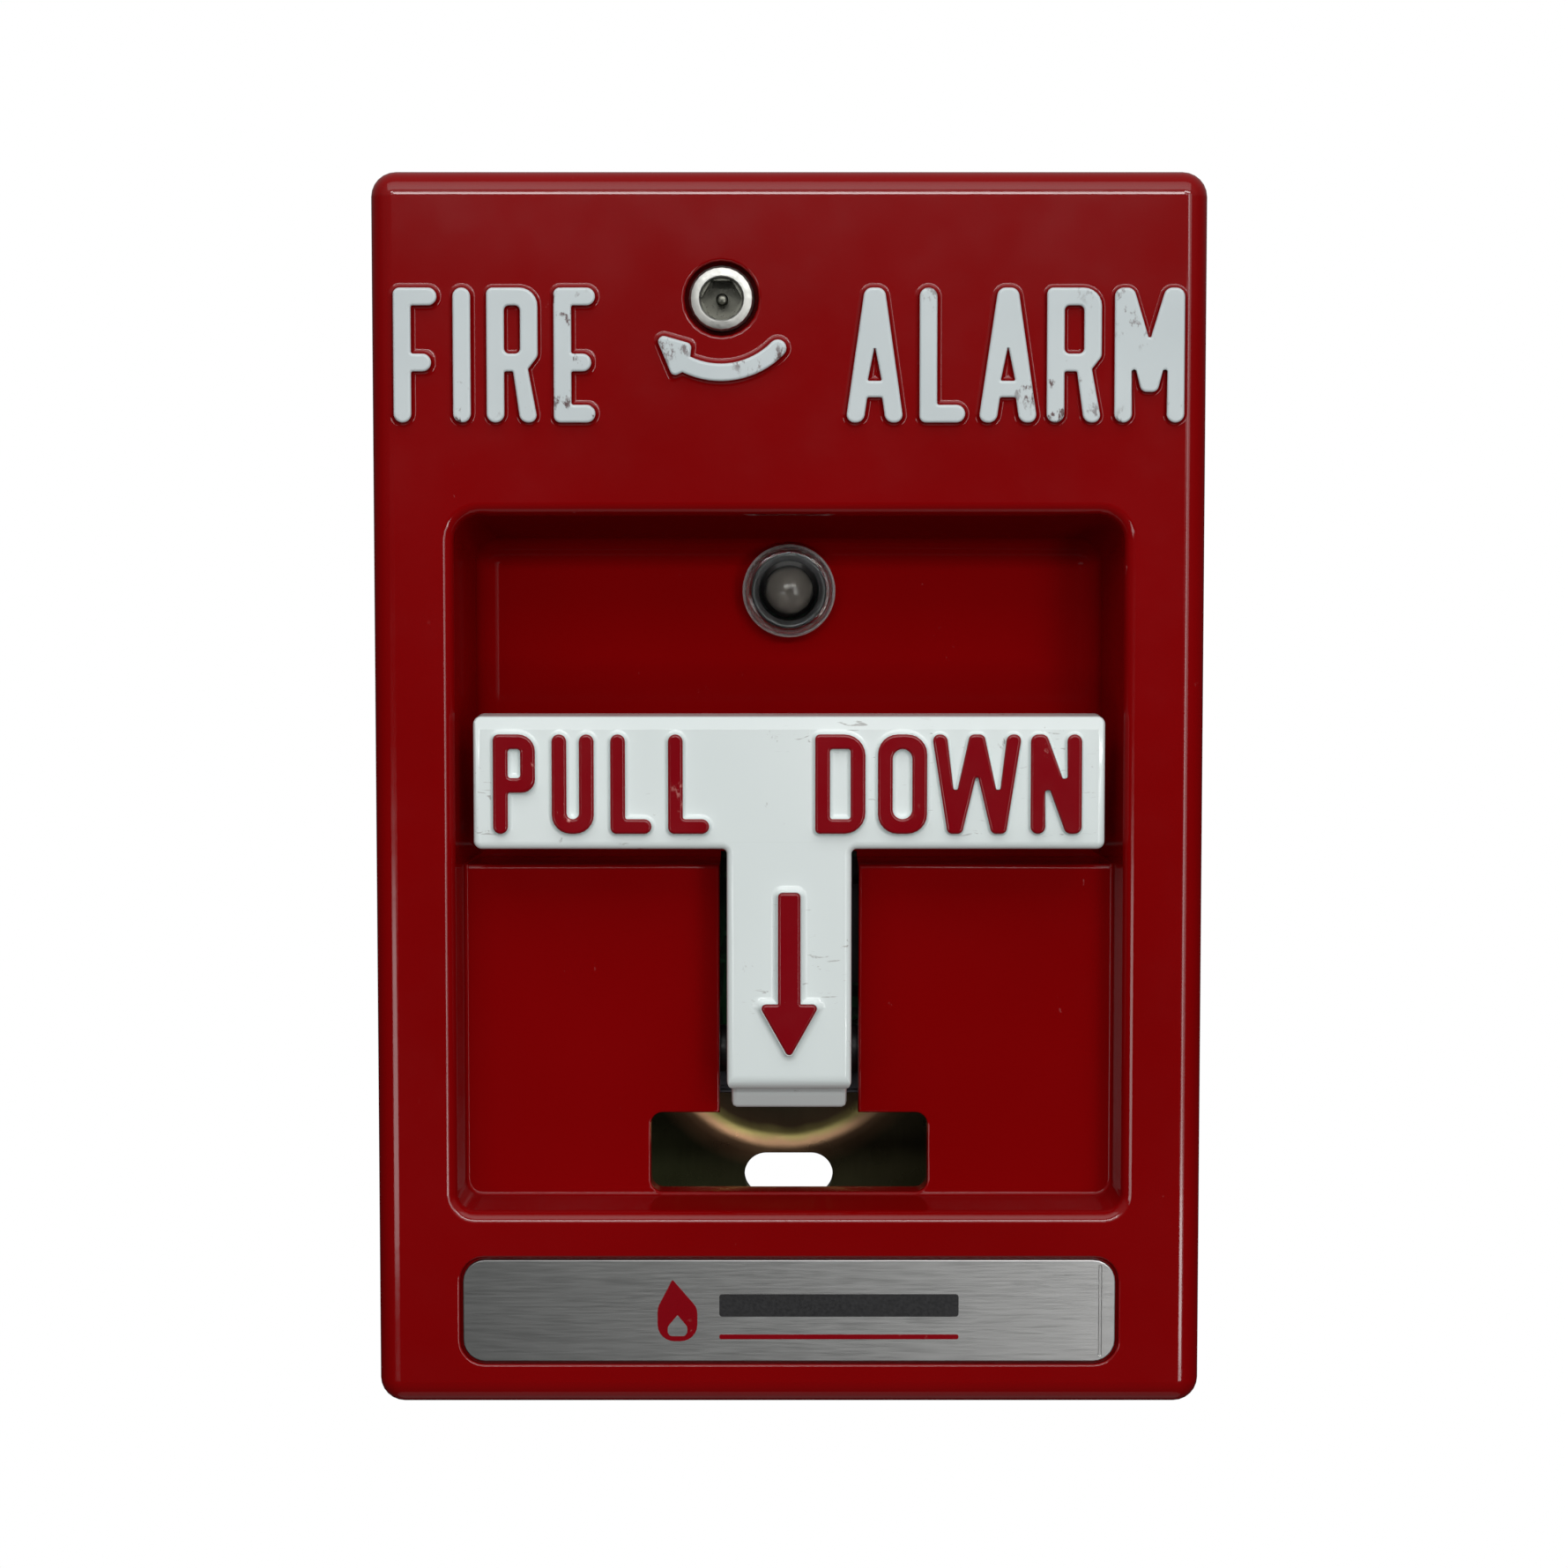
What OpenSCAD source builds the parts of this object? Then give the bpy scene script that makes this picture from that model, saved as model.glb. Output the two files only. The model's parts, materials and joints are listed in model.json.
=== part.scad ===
// Manual fire alarm call point, T-bar pattern, for a flush wall box.
// X runs to the right seen from the front, the front faces -Y, +Z is up.
// The origin is behind the middle of the cover, on the wall plane.

/* [Cover] */
// Width of the die-cast cover
cover_w = 82.5; // [80:0.5:86]
// Height of the die-cast cover
cover_h = 123; // [122:0.5:126]
// Distance from the wall to the front face
cover_d = 28.5; // [28:0.5:30]
// Wall thickness of the casting
wall = 2.4; // [2:0.1:2.8]
// Radius of the four outer corners
corner_r = 2.5; // [2:0.5:4]
// Height of the raised lettering and arrows
relief = 0.8; // [0.4:0.1:1.2]

/* [Recess] */
// Width of the recess at the front face
recess_w = 66.4; // [64:0.2:68]
// Top edge of the recess above the middle of the cover
recess_top = 27.8; // [27:0.2:30]
// Bottom edge of the recess below the middle of the cover
recess_bottom = 42.4; // [42:0.2:44]
// Depth of the finger well behind the front face
well_depth = 16; // [15:0.5:17]
// Depth of the lower panel behind the front face
panel_depth = 6; // [5:0.5:7]
// Top edge of the lower panel below the middle of the cover
panel_top = 7.5; // [7:0.1:8]
// Thickness of the lower panel
panel_t = 3; // [2.5:0.1:3.2]
// Width of the slot that the handle's stem lies in
slot_w = 14; // [13.6:0.2:15]
// Width of the window under the stem
window_w = 28; // [26:0.5:30]
// Top edge of the window below the middle of the cover
window_top = 32.8; // [32.4:0.2:33.4]
// Bottom edge of the window below the middle of the cover
window_bottom = 40.9; // [40.5:0.1:41.2]

/* [Pull handle] */
// Length of the handle's crossbar
bar_w = 62.6; // [60:0.2:63]
// Height of the handle's crossbar
bar_h = 13.2; // [12:0.2:14]
// Top edge of the crossbar above the middle of the cover
bar_top = 7.9; // [7:0.1:9]
// Thickness of the crossbar
bar_t = 5.5; // [4:0.5:6]
// Width of the stem
stem_w = 12.4; // [12:0.1:13]
// Lower end of the stem below the middle of the cover
stem_end = 29.8; // [29:0.1:30.2]
// How far the handle stands in front of the cover's face
handle_proud = 1; // [0.5:0.25:1.5]

/* [Wall plate] */
// Thickness of the steel wall plate
plate_t = 1.6; // [1.2:0.1:1.8]
// Spacing of the screws of a wall box, one above the other
box_pitch_z = 83.34; // [83:0.02:84]
// Spacing of the screw pairs of a double wall box, side by side
box_pitch_x = 46.04; // [45.6:0.02:46.4]
// Half the width of a screw slot and the radius of a screw hole
screw_r = 2.3; // [2:0.1:2.4]
// Length of a screw slot from end to end
screw_slot = 9.4; // [8:0.2:10]

/* [Lock] */
// Radius of the turning lock barrel
lock_r = 3.2; // [3:0.1:3.3]
// Size of the hexagonal key socket across its flats
key_af = 4; // [3.5:0.1:4.2]

/* [Hidden] */
$fn = 48;
EPS = 1;           // overlap that makes a cut pass clean through a face
FIT = 0.03;        // radial gap of a fixed fit
RUN = 0.06;        // radial gap of a running fit
ARC_STEPS = 6;     // straight steps in a quarter of a rounded outline

// Planes across the depth of the cover
FRONT = -cover_d;
RIM = -0.5;
INNER = FRONT + wall;
WELL_Y = FRONT + well_depth;
WELL_BACK = WELL_Y + 2;
PANEL_Y = FRONT + panel_depth;
PANEL_BACK = PANEL_Y + panel_t;

// Cover hinge, along the bottom edge
hinge_y = -3.6;
hinge_z = 3.3 - cover_h / 2;
knuckle_r = 3.2;
hinge_pin_r = 1.25;
ear_x = 30;
ear_t = 1.6;

// Lock in the upper left of the cover
lock_x = -6.65;
lock_z = 49;
cam_y = -13.5;
cam_t = 1.5;
guard_pin_r = 0.6;

// Handle pivot behind the lower panel
pivot_y = -17;
pivot_z = -27;
pivot_r = 1.5;
hub_r = 3.2;
lug_in = 7.2;
lug_out = 10.2;
HANDLE_Y = FRONT - handle_proud;
nose_y = 6.6;
nose_z = -3.6;
nose_r = 1.2;

// Circuit board and what stands on it
BOARD_Y = -6;
board_t = 1.6;
board_w = 66;
board_top = 25;
board_bottom = -33;
board_fix = [[-30.3, 21.5], [30.3, 21.5], [-30.3, -16], [30.3, -16]];
led_z = 19.8;
led_r = 2.5;
dial_x = [18.5, 27.5];
dial_z = -27.5;
terminal_x = -31;
terminal_pitch = 4.5;
terminal_count = 4;
terminal_z = -26;

// Snap switch and its lever
switch_x = [-3, 17];
switch_z = [-20.8, -10.6];
switch_y = [-12.4, BOARD_Y];
switch_pin_x = [-1, 7, 15];
switch_pin_z = -16;
lever_x = 16;
lever_z = -21.6;
lever_len = 16.5;
lever_t = 0.5;
lever_angle = 24.2;
plunger_x = 11;
plunger_r = 0.8;

// Height of the middle of the wall box's screw pattern
box_z = -1.2;

// Red-painted and white-painted lettering
caps_h = 13;
caps_stroke = 1.55;
caps_z = 36.95;
bar_caps_h = 9.7;
bar_caps_stroke = 1.3;
bar_caps_z = -3.6;

// ---- Helpers -------------------------------------------------------------

// Points of an arc about [cx, cy], from angle a0 to angle a1
function arc(cx, cy, r, a0, a1, steps = ARC_STEPS) =
    [for (i = [0:steps]) let (a = a0 + (a1 - a0) * i / steps) [cx + r * cos(a), cy + r * sin(a)]];

// Outline of a rectangle with rounded corners, centred on the origin
module rounded(w, h, r) {
    x = w / 2 - r;
    y = h / 2 - r;
    polygon(concat(arc(x, y, r, 0, 90), arc(-x, y, r, 90, 180),
        arc(-x, -y, r, 180, 270), arc(x, -y, r, 270, 360)));
}

// Extrudes an outline drawn in X and Z from depth y0 to depth y1
module along_y(y0, y1) {
    translate([0, y1, 0]) rotate([90, 0, 0]) linear_extrude(y1 - y0) children();
}

// Extrudes an outline drawn in Y and Z from x0 to x1
module along_x(x0, x1) {
    translate([x0, 0, 0]) rotate([90, 0, 90]) linear_extrude(x1 - x0) children();
}

// Box between two limits on each axis
module block(x, y, z) {
    translate([x[0], y[0], z[0]]) cube([x[1] - x[0], y[1] - y[0], z[1] - z[0]]);
}

// Round bar along Y
module rod_y(x, z, r, y0, y1) {
    translate([x, y1, z]) rotate([90, 0, 0]) cylinder(h = y1 - y0, r = r);
}

// Round bar along X
module rod_x(y, z, r, x0, x1) {
    translate([x0, y, z]) rotate([0, 90, 0]) cylinder(h = x1 - x0, r = r);
}

// Round bar along Z
module rod_z(x, y, r, z0, z1) {
    translate([x, y, z0]) cylinder(h = z1 - z0, r = r);
}

// Copies its children to the right and, mirrored, to the left
module both_sides() {
    children();
    mirror([1, 0, 0]) children();
}

// ---- Lettering -----------------------------------------------------------

// Straight stroke of width s from p to q with square ends
module stroke(p, q, s) {
    d = q - p;
    translate(p) rotate(atan2(d[1], d[0])) translate([0, -s / 2]) square([norm(d), s]);
}

// Half ring that closes the bowl of a letter on the right of x
module bowl(x, y0, y1, reach, s) {
    r = (y1 - y0) / 2;
    polygon(concat([[x, y0]], arc(x + reach - r, y0 + r, r, -90, 90, 10), [[x, y1], [x, y1 - s]],
        arc(x + reach - r, y0 + r, r - s, 90, -90, 10), [[x, y0 + s]]));
}

module letter_a(w, h, s) {
    stroke([s / 2, 0], [w / 2, h], s);
    stroke([w - s / 2, 0], [w / 2, h], s);
    stroke([s, h * 0.3], [w - s, h * 0.3], s * 0.9);
    translate([w / 2 - s * 0.6, h - s]) square([s * 1.2, s]);
}

module letter_d(w, h, s) {
    square([s, h]);
    polygon(concat([[0, 0]], arc(w - w * 0.45, w * 0.45, w * 0.45, -90, 0),
        arc(w - w * 0.45, h - w * 0.45, w * 0.45, 0, 90), [[0, h], [0, h - s]],
        arc(w - w * 0.45, h - w * 0.45, w * 0.45 - s, 90, 0),
        arc(w - w * 0.45, w * 0.45, w * 0.45 - s, 0, -90), [[0, s]]));
}

module letter_e(w, h, s) {
    square([s, h]);
    for (y = [0, h * 0.5 - s / 2, h - s])
        translate([0, y]) square([w, s]);
}

module letter_f(w, h, s) {
    square([s, h]);
    translate([0, h - s]) square([w, s]);
    translate([0, h * 0.44]) square([w * 0.88, s]);
}

module letter_i(w, h, s) {
    square([s, h]);
}

module letter_l(w, h, s) {
    square([s, h]);
    square([w, s]);
}

module letter_m(w, h, s) {
    square([s, h]);
    translate([w - s, 0]) square([s, h]);
    stroke([s / 2, h - s / 2], [w / 2, h * 0.25], s);
    stroke([w - s / 2, h - s / 2], [w / 2, h * 0.25], s);
}

module letter_n(w, h, s) {
    square([s, h]);
    translate([w - s, 0]) square([s, h]);
    stroke([s / 2, h - s / 2], [w - s / 2, s / 2], s);
}

module letter_o(w, h, s) {
    difference() {
        translate([w / 2, h / 2]) rounded(w, h, w * 0.42);
        translate([w / 2, h / 2]) rounded(w - 2 * s, h - 2 * s, w * 0.42 - s);
    }
}

module letter_p(w, h, s) {
    square([s, h]);
    bowl(0, h * 0.42, h, w, s);
}

module letter_r(w, h, s) {
    square([s, h]);
    bowl(0, h * 0.42, h, w, s);
    stroke([w * 0.45, h * 0.45], [w - s * 0.45, 0], s);
}

module letter_u(w, h, s) {
    r = w / 2;
    polygon(concat([[0, h]], arc(r, r, r, 180, 360, 12), [[w, h], [w - s, h]],
        arc(r, r, r - s, 360, 180, 12), [[s, h]]));
}

module letter_w(w, h, s) {
    for (x = [0, w / 2]) {
        stroke([x + s * 0.45, h], [x + w / 4, 0], s);
        stroke([x + w / 2 - s * 0.45, h], [x + w / 4, 0], s);
    }
}

module letter(c, w, h, s) {
    intersection() {
        square([w, h]);
        union() {
            if (c == "A") letter_a(w, h, s);
            if (c == "D") letter_d(w, h, s);
            if (c == "E") letter_e(w, h, s);
            if (c == "F") letter_f(w, h, s);
            if (c == "I") letter_i(w, h, s);
            if (c == "L") letter_l(w, h, s);
            if (c == "M") letter_m(w, h, s);
            if (c == "N") letter_n(w, h, s);
            if (c == "O") letter_o(w, h, s);
            if (c == "P") letter_p(w, h, s);
            if (c == "R") letter_r(w, h, s);
            if (c == "U") letter_u(w, h, s);
            if (c == "W") letter_w(w, h, s);
        }
    }
}

// Sum of the first n values of a list
function sum_to(list, n) = n <= 0 ? 0 : list[n - 1] + sum_to(list, n - 1);

// A word: its letters, their widths and the gaps after them
module word(letters, widths, gaps, h, s) {
    for (i = [0:len(letters) - 1])
        translate([sum_to(widths, i) + sum_to(gaps, i), 0]) letter(letters[i], widths[i], h, s);
}

// Curved arrow under the lock, which shows the way that the key turns to open
module turn_arrow() {
    r = 7.5;
    band = 1.65;
    tail = -38;
    tip = -137;
    polygon(concat(arc(0, 0, r + band / 2, tail, tip, 16), arc(0, 0, r - band / 2, tip, tail, 16)));
    polygon([(r + 1.9) * [cos(tip + 2), sin(tip + 2)], (r - 1.9) * [cos(tip + 2), sin(tip + 2)],
        (r + 0.2) * [cos(tip - 22), sin(tip - 22)]]);
}

// Straight arrow on the handle's stem, which points down
module down_arrow() {
    translate([-1.1, -20.6]) square([2.2, 11.1]);
    polygon([[-2.8, -20.6], [2.8, -20.6], [0, -25.7]]);
}

// ---- Wall plate ----------------------------------------------------------

plate_w = 75;
plate_top = 57.5;
plate_bottom = -54.5;
catch_x = [-13, -0.3];
catch_y = -15.7;
catch_lip = 4.9;
cable_x = 18;
cable_z = [26.5, 35.5];
ground_at = [30, 47];

module ear() {
    along_x(ear_x, ear_x + ear_t) difference() {
        union() {
            translate([hinge_y, hinge_z]) circle(r = 2.5);
            polygon([[0, plate_bottom + 4], [0, plate_bottom - 1], [hinge_y + 2, hinge_z - 0.6],
                [hinge_y - 2.4, hinge_z + 0.4], [hinge_y - 1.6, plate_bottom + 4]]);
        }
        translate([hinge_y, hinge_z]) circle(r = hinge_pin_r + RUN);
    }
}

module back_plate() color("darkkhaki") {
    difference() {
        union() {
            translate([0, 0, (plate_top + plate_bottom) / 2])
                along_y(-plate_t, 0) rounded(plate_w, plate_top - plate_bottom, 3);
            block(catch_x, [catch_y, -plate_t / 2], [plate_top - plate_t, plate_top]);
            block(catch_x, [catch_y, catch_y + plate_t], [plate_top - catch_lip, plate_top]);
            both_sides() ear();
        }
        for (side = [-1, 1]) {
            z = box_z + side * box_pitch_z / 2;
            reach = screw_slot / 2 - screw_r;
            block([-reach, reach], [-plate_t - EPS, EPS], [z - screw_r, z + screw_r]);
            for (x = [-reach, reach])
                rod_y(x, z, screw_r, -plate_t - EPS, EPS);
            for (x = [-1, 1])
                rod_y(x * box_pitch_x / 2, z, screw_r, -plate_t - EPS, EPS);
        }
        translate([0, 0, (cable_z[0] + cable_z[1]) / 2]) along_y(-plate_t - EPS, EPS)
            rounded(2 * cable_x, cable_z[1] - cable_z[0], 2);
        for (p = board_fix)
            rod_y(p[0], p[1], 1.9 + FIT, -plate_t - EPS, EPS);
        rod_y(ground_at[0], ground_at[1], 1.9 + FIT, -plate_t - EPS, EPS);
    }
}

module ground_screw() color("green") {
    rod_y(ground_at[0], ground_at[1], 1.9, -plate_t - 0.5, 1.5 - plate_t);
    difference() {
        translate([ground_at[0], -plate_t, ground_at[1]]) rotate([90, 0, 0])
            cylinder(h = 3, r = 4, $fn = 6);
        block([ground_at[0] - 5, ground_at[0] + 5], [-plate_t - 4, -plate_t - 1.8],
            [ground_at[1] - 0.6, ground_at[1] + 0.6]);
    }
}

// ---- Circuit board -------------------------------------------------------

module board_standoffs() color("silver") {
    for (p = board_fix)
        difference() {
            union() {
                translate([p[0], -plate_t, p[1]]) rotate([90, 30, 0])
                    cylinder(h = -plate_t - (BOARD_Y + board_t), r = 2.9, $fn = 6);
                rod_y(p[0], p[1], 1.9, -plate_t - 0.5, -0.1);
            }
            rod_y(p[0], p[1], 1.25, BOARD_Y, EPS);
        }
}

module circuit_board() color("darkgreen") {
    difference() {
        translate([0, 0, (board_top + board_bottom) / 2])
            along_y(BOARD_Y, BOARD_Y + board_t) rounded(board_w, board_top - board_bottom, 2);
        for (p = board_fix)
            rod_y(p[0], p[1], 1.45, BOARD_Y - EPS, BOARD_Y + board_t + EPS);
        for (x = switch_pin_x)
            rod_y(x, switch_pin_z, 0.6, BOARD_Y - EPS, BOARD_Y + board_t + EPS);
    }
}

module board_screws() color("silver") {
    for (p = board_fix) {
        rod_y(p[0], p[1], 1.2, BOARD_Y - 0.5, -1);
        difference() {
            rod_y(p[0], p[1], 2.4, BOARD_Y - 1.6, BOARD_Y);
            block([p[0] - 1.5, p[0] + 1.5], [BOARD_Y - 2, BOARD_Y - 0.9], [p[1] - 0.3, p[1] + 0.3]);
            block([p[0] - 0.3, p[0] + 0.3], [BOARD_Y - 2, BOARD_Y - 0.9], [p[1] - 1.5, p[1] + 1.5]);
        }
    }
}

terminal_w = terminal_pitch * terminal_count;
terminal_y = BOARD_Y - 9;
function terminal_at(i) = terminal_x + terminal_pitch * (i + 0.5);

module terminal_block() color("darkslategray") {
    difference() {
        union() {
            block([terminal_x, terminal_x + terminal_w], [BOARD_Y - 7, BOARD_Y],
                [terminal_z - 5.5, terminal_z + 5.5]);
            block([terminal_x, terminal_x + terminal_w], [terminal_y, BOARD_Y - 6],
                [terminal_z - 3, terminal_z + 3.5]);
        }
        for (i = [0:terminal_count - 1]) {
            rod_y(terminal_at(i), terminal_z, 1.8, terminal_y - EPS, BOARD_Y - 5);
            block([terminal_at(i) - 1.7, terminal_at(i) + 1.7], [BOARD_Y - 5.2, BOARD_Y - 1.2],
                [terminal_z - 6.5, terminal_z + 2]);
        }
    }
}

module terminal_screws() color("silver") {
    for (i = [0:terminal_count - 1]) {
        difference() {
            rod_y(terminal_at(i), terminal_z, 1.7, terminal_y + 0.6, terminal_y + 2.4);
            block([terminal_at(i) - 1.4, terminal_at(i) + 1.4], [terminal_y - EPS, terminal_y + 1.4],
                [terminal_z - 0.3, terminal_z + 0.3]);
        }
        rod_y(terminal_at(i), terminal_z, 1.1, terminal_y + 2.2, BOARD_Y - 4.6);
    }
}

module terminal_clamps() color("goldenrod") {
    for (i = [0:terminal_count - 1])
        difference() {
            block([terminal_at(i) - 1.6, terminal_at(i) + 1.6], [BOARD_Y - 4.5, BOARD_Y - 1.3],
                [terminal_z - 2.6, terminal_z + 1.9]);
            block([terminal_at(i) - 1.2, terminal_at(i) + 1.2], [BOARD_Y - 3.9, BOARD_Y - 1.9],
                [terminal_z - 3, terminal_z + 2.5]);
        }
}

module controller_chip() color("black") {
    block([-25, -15], [BOARD_Y - 1.5, BOARD_Y - 0.2], [0, 10]);
    for (i = [0:7])
        for (side = [-1, 1])
            block([-20 + side * 5 - 0.9, -20 + side * 5 + 0.9], [BOARD_Y - 0.2, BOARD_Y],
                [0.95 + i * 1.1, 1.35 + i * 1.1]);
}

module board_capacitors() color("khaki") {
    for (x = [10, 16, 22])
        block([x, x + 3.2], [BOARD_Y - 2, BOARD_Y], [2, 7]);
    for (z = [-4, 13])
        block([-13, -11.4], [BOARD_Y - 1, BOARD_Y], [z, z + 3.2]);
}

module led_spacer() color("black") {
    difference() {
        rod_y(0, led_z, 2.9, BOARD_Y - 2.4, BOARD_Y);
        for (x = [-1.27, 1.27])
            rod_y(x, led_z, 0.4, BOARD_Y - 3, BOARD_Y + EPS);
    }
}

module status_led() color("rosybrown") {
    rod_y(0, led_z, 2.9, BOARD_Y - 3.4, BOARD_Y - 2.4);
    intersection() {
        rod_y(0, led_z, led_r, WELL_Y - 2, BOARD_Y - 3);
        translate([0, WELL_Y + 1.3, led_z]) sphere(r = 2.7);
    }
    rod_y(0, led_z, led_r, WELL_Y + 1.2, BOARD_Y - 3);
    for (x = [-1.27, 1.27])
        rod_y(x, led_z, 0.3, BOARD_Y - 2.6, BOARD_Y - 0.1);
}

// ---- Address dials -------------------------------------------------------

module dial_bodies() color("dimgray") {
    for (x = dial_x)
        difference() {
            block([x - 4, x + 4], [BOARD_Y - 4, BOARD_Y], [dial_z - 4, dial_z + 4]);
            rod_y(x, dial_z, 3 + RUN, BOARD_Y - 5, BOARD_Y - 2);
        }
}

module dial(x) {
    difference() {
        rod_y(x, dial_z, 3, BOARD_Y - 4.4, BOARD_Y - 2.1);
        block([x - 0.35, x + 0.35], [BOARD_Y - 5, BOARD_Y - 3.6], [dial_z - 2.2, dial_z + 2.2]);
    }
    polygon_tip = [[x - 0.8, dial_z + 1.8], [x + 0.8, dial_z + 1.8], [x, dial_z + 2.8]];
    along_y(BOARD_Y - 4.6, BOARD_Y - 4.2) polygon(polygon_tip);
}

module tens_dial() color("white") dial(dial_x[0]);

module ones_dial() color("white") dial(dial_x[1]);

// ---- Snap switch ---------------------------------------------------------

lever_y = [-11.5, -7.2];
switch_mid_y = (lever_y[0] + lever_y[1]) / 2;

module switch_body() color("black") {
    difference() {
        union() {
            block(switch_x, switch_y, switch_z);
            for (y = [[lever_y[0] - 0.8, lever_y[0] - 0.1], [lever_y[1] + 0.1, lever_y[1] + 0.8]])
                along_y(y[0], y[1]) union() {
                    translate([lever_x, lever_z]) circle(r = 0.95);
                    translate([lever_x - 0.9, lever_z]) square([1.8, switch_z[0] - lever_z + 0.2]);
                }
        }
        rod_y(lever_x, lever_z, 0.4 + FIT, switch_y[0] - EPS, switch_y[1] + EPS);
        rod_z(plunger_x, switch_mid_y, plunger_r + RUN, switch_z[0] - EPS, switch_z[0] + 3.4);
        for (x = [-0.5, 9])
            rod_y(x, -13, 1.1, switch_y[0] - EPS, switch_y[1] - 0.5);
    }
}

module switch_pins() color("silver") {
    for (x = switch_pin_x)
        block([x - 0.4, x + 0.4], [BOARD_Y, BOARD_Y + board_t + 0.8],
            [switch_pin_z - 0.3, switch_pin_z + 0.3]);
}

module lever_pin() color("silver") {
    rod_y(lever_x, lever_z, 0.4, lever_y[0] - 0.8, lever_y[1] + 0.8);
}

module switch_lever() color("lightgray") {
    translate([lever_x, 0, lever_z]) rotate([0, -lever_angle, 0]) difference() {
        union() {
            rod_y(0, 0, 0.75, lever_y[0], lever_y[1]);
            block([-lever_len, 0], lever_y, [-lever_t / 2, lever_t / 2]);
        }
        rod_y(0, 0, 0.4 + RUN, lever_y[0] - EPS, lever_y[1] + EPS);
    }
}

module switch_plunger() color("firebrick") {
    rod_z(plunger_x, switch_mid_y, plunger_r, -22.7, -19);
}

// ---- Front cover ---------------------------------------------------------

plate_pocket_z = -51.9;
tub_wall = 2;
edge_break = 1.4;
well_draft_top = 3;
well_draft_side = 1.9;

// Outer block of the casting with its front edges broken at 45 degrees
module cover_block() {
    reach_x = cover_w / 2 + EPS;
    reach_z = cover_h / 2 + EPS;
    intersection() {
        along_y(FRONT - EPS, RIM) rounded(cover_w, cover_h, corner_r);
        along_x(-reach_x, reach_x) polygon([[FRONT, -cover_h / 2 + edge_break],
            [FRONT, cover_h / 2 - edge_break], [FRONT + edge_break + EPS, reach_z], [EPS, reach_z],
            [EPS, -reach_z], [FRONT + edge_break + EPS, -reach_z]]);
        translate([0, 0, -reach_z]) linear_extrude(2 * reach_z) polygon([
            [-cover_w / 2 + edge_break + EPS, FRONT - EPS], [cover_w / 2 - edge_break - EPS, FRONT - EPS],
            [reach_x, FRONT + edge_break + EPS], [reach_x, EPS], [-reach_x, EPS],
            [-reach_x, FRONT + edge_break + EPS]]);
    }
}

// Space of the finger well, with drafted side and top walls
module well_space() {
    half = recess_w / 2;
    intersection() {
        along_x(-half - EPS, half + EPS) polygon([[FRONT - EPS, -panel_top], [WELL_Y, -panel_top],
            [WELL_Y, recess_top - well_draft_top], [FRONT, recess_top], [FRONT - EPS, recess_top]]);
        translate([0, 0, -panel_top - EPS]) linear_extrude(60) polygon([[-half, FRONT - 2 * EPS],
            [half, FRONT - 2 * EPS], [half, FRONT], [half - well_draft_side, WELL_Y + EPS],
            [-half + well_draft_side, WELL_Y + EPS], [-half, FRONT]]);
    }
}

// Space in front of the lower panel
module panel_space() {
    h = recess_bottom - panel_top + 8;
    translate([0, 0, h / 2 - recess_bottom]) along_y(FRONT - EPS, PANEL_Y) rounded(recess_w, h, 4);
}

module hinge_knuckles() {
    side_wall = cover_w / 2 - wall;
    rod_x(hinge_y, hinge_z, knuckle_r, ear_x - 5, ear_x - 0.6);
    rod_x(hinge_y, hinge_z, knuckle_r, ear_x + ear_t + 0.6, side_wall + 0.5);
}

module pivot_lugs() {
    block([lug_in, lug_out], [PANEL_BACK - 0.5, pivot_y + 3.5], [0.5 - window_top, pivot_z + 3.8]);
}

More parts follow.
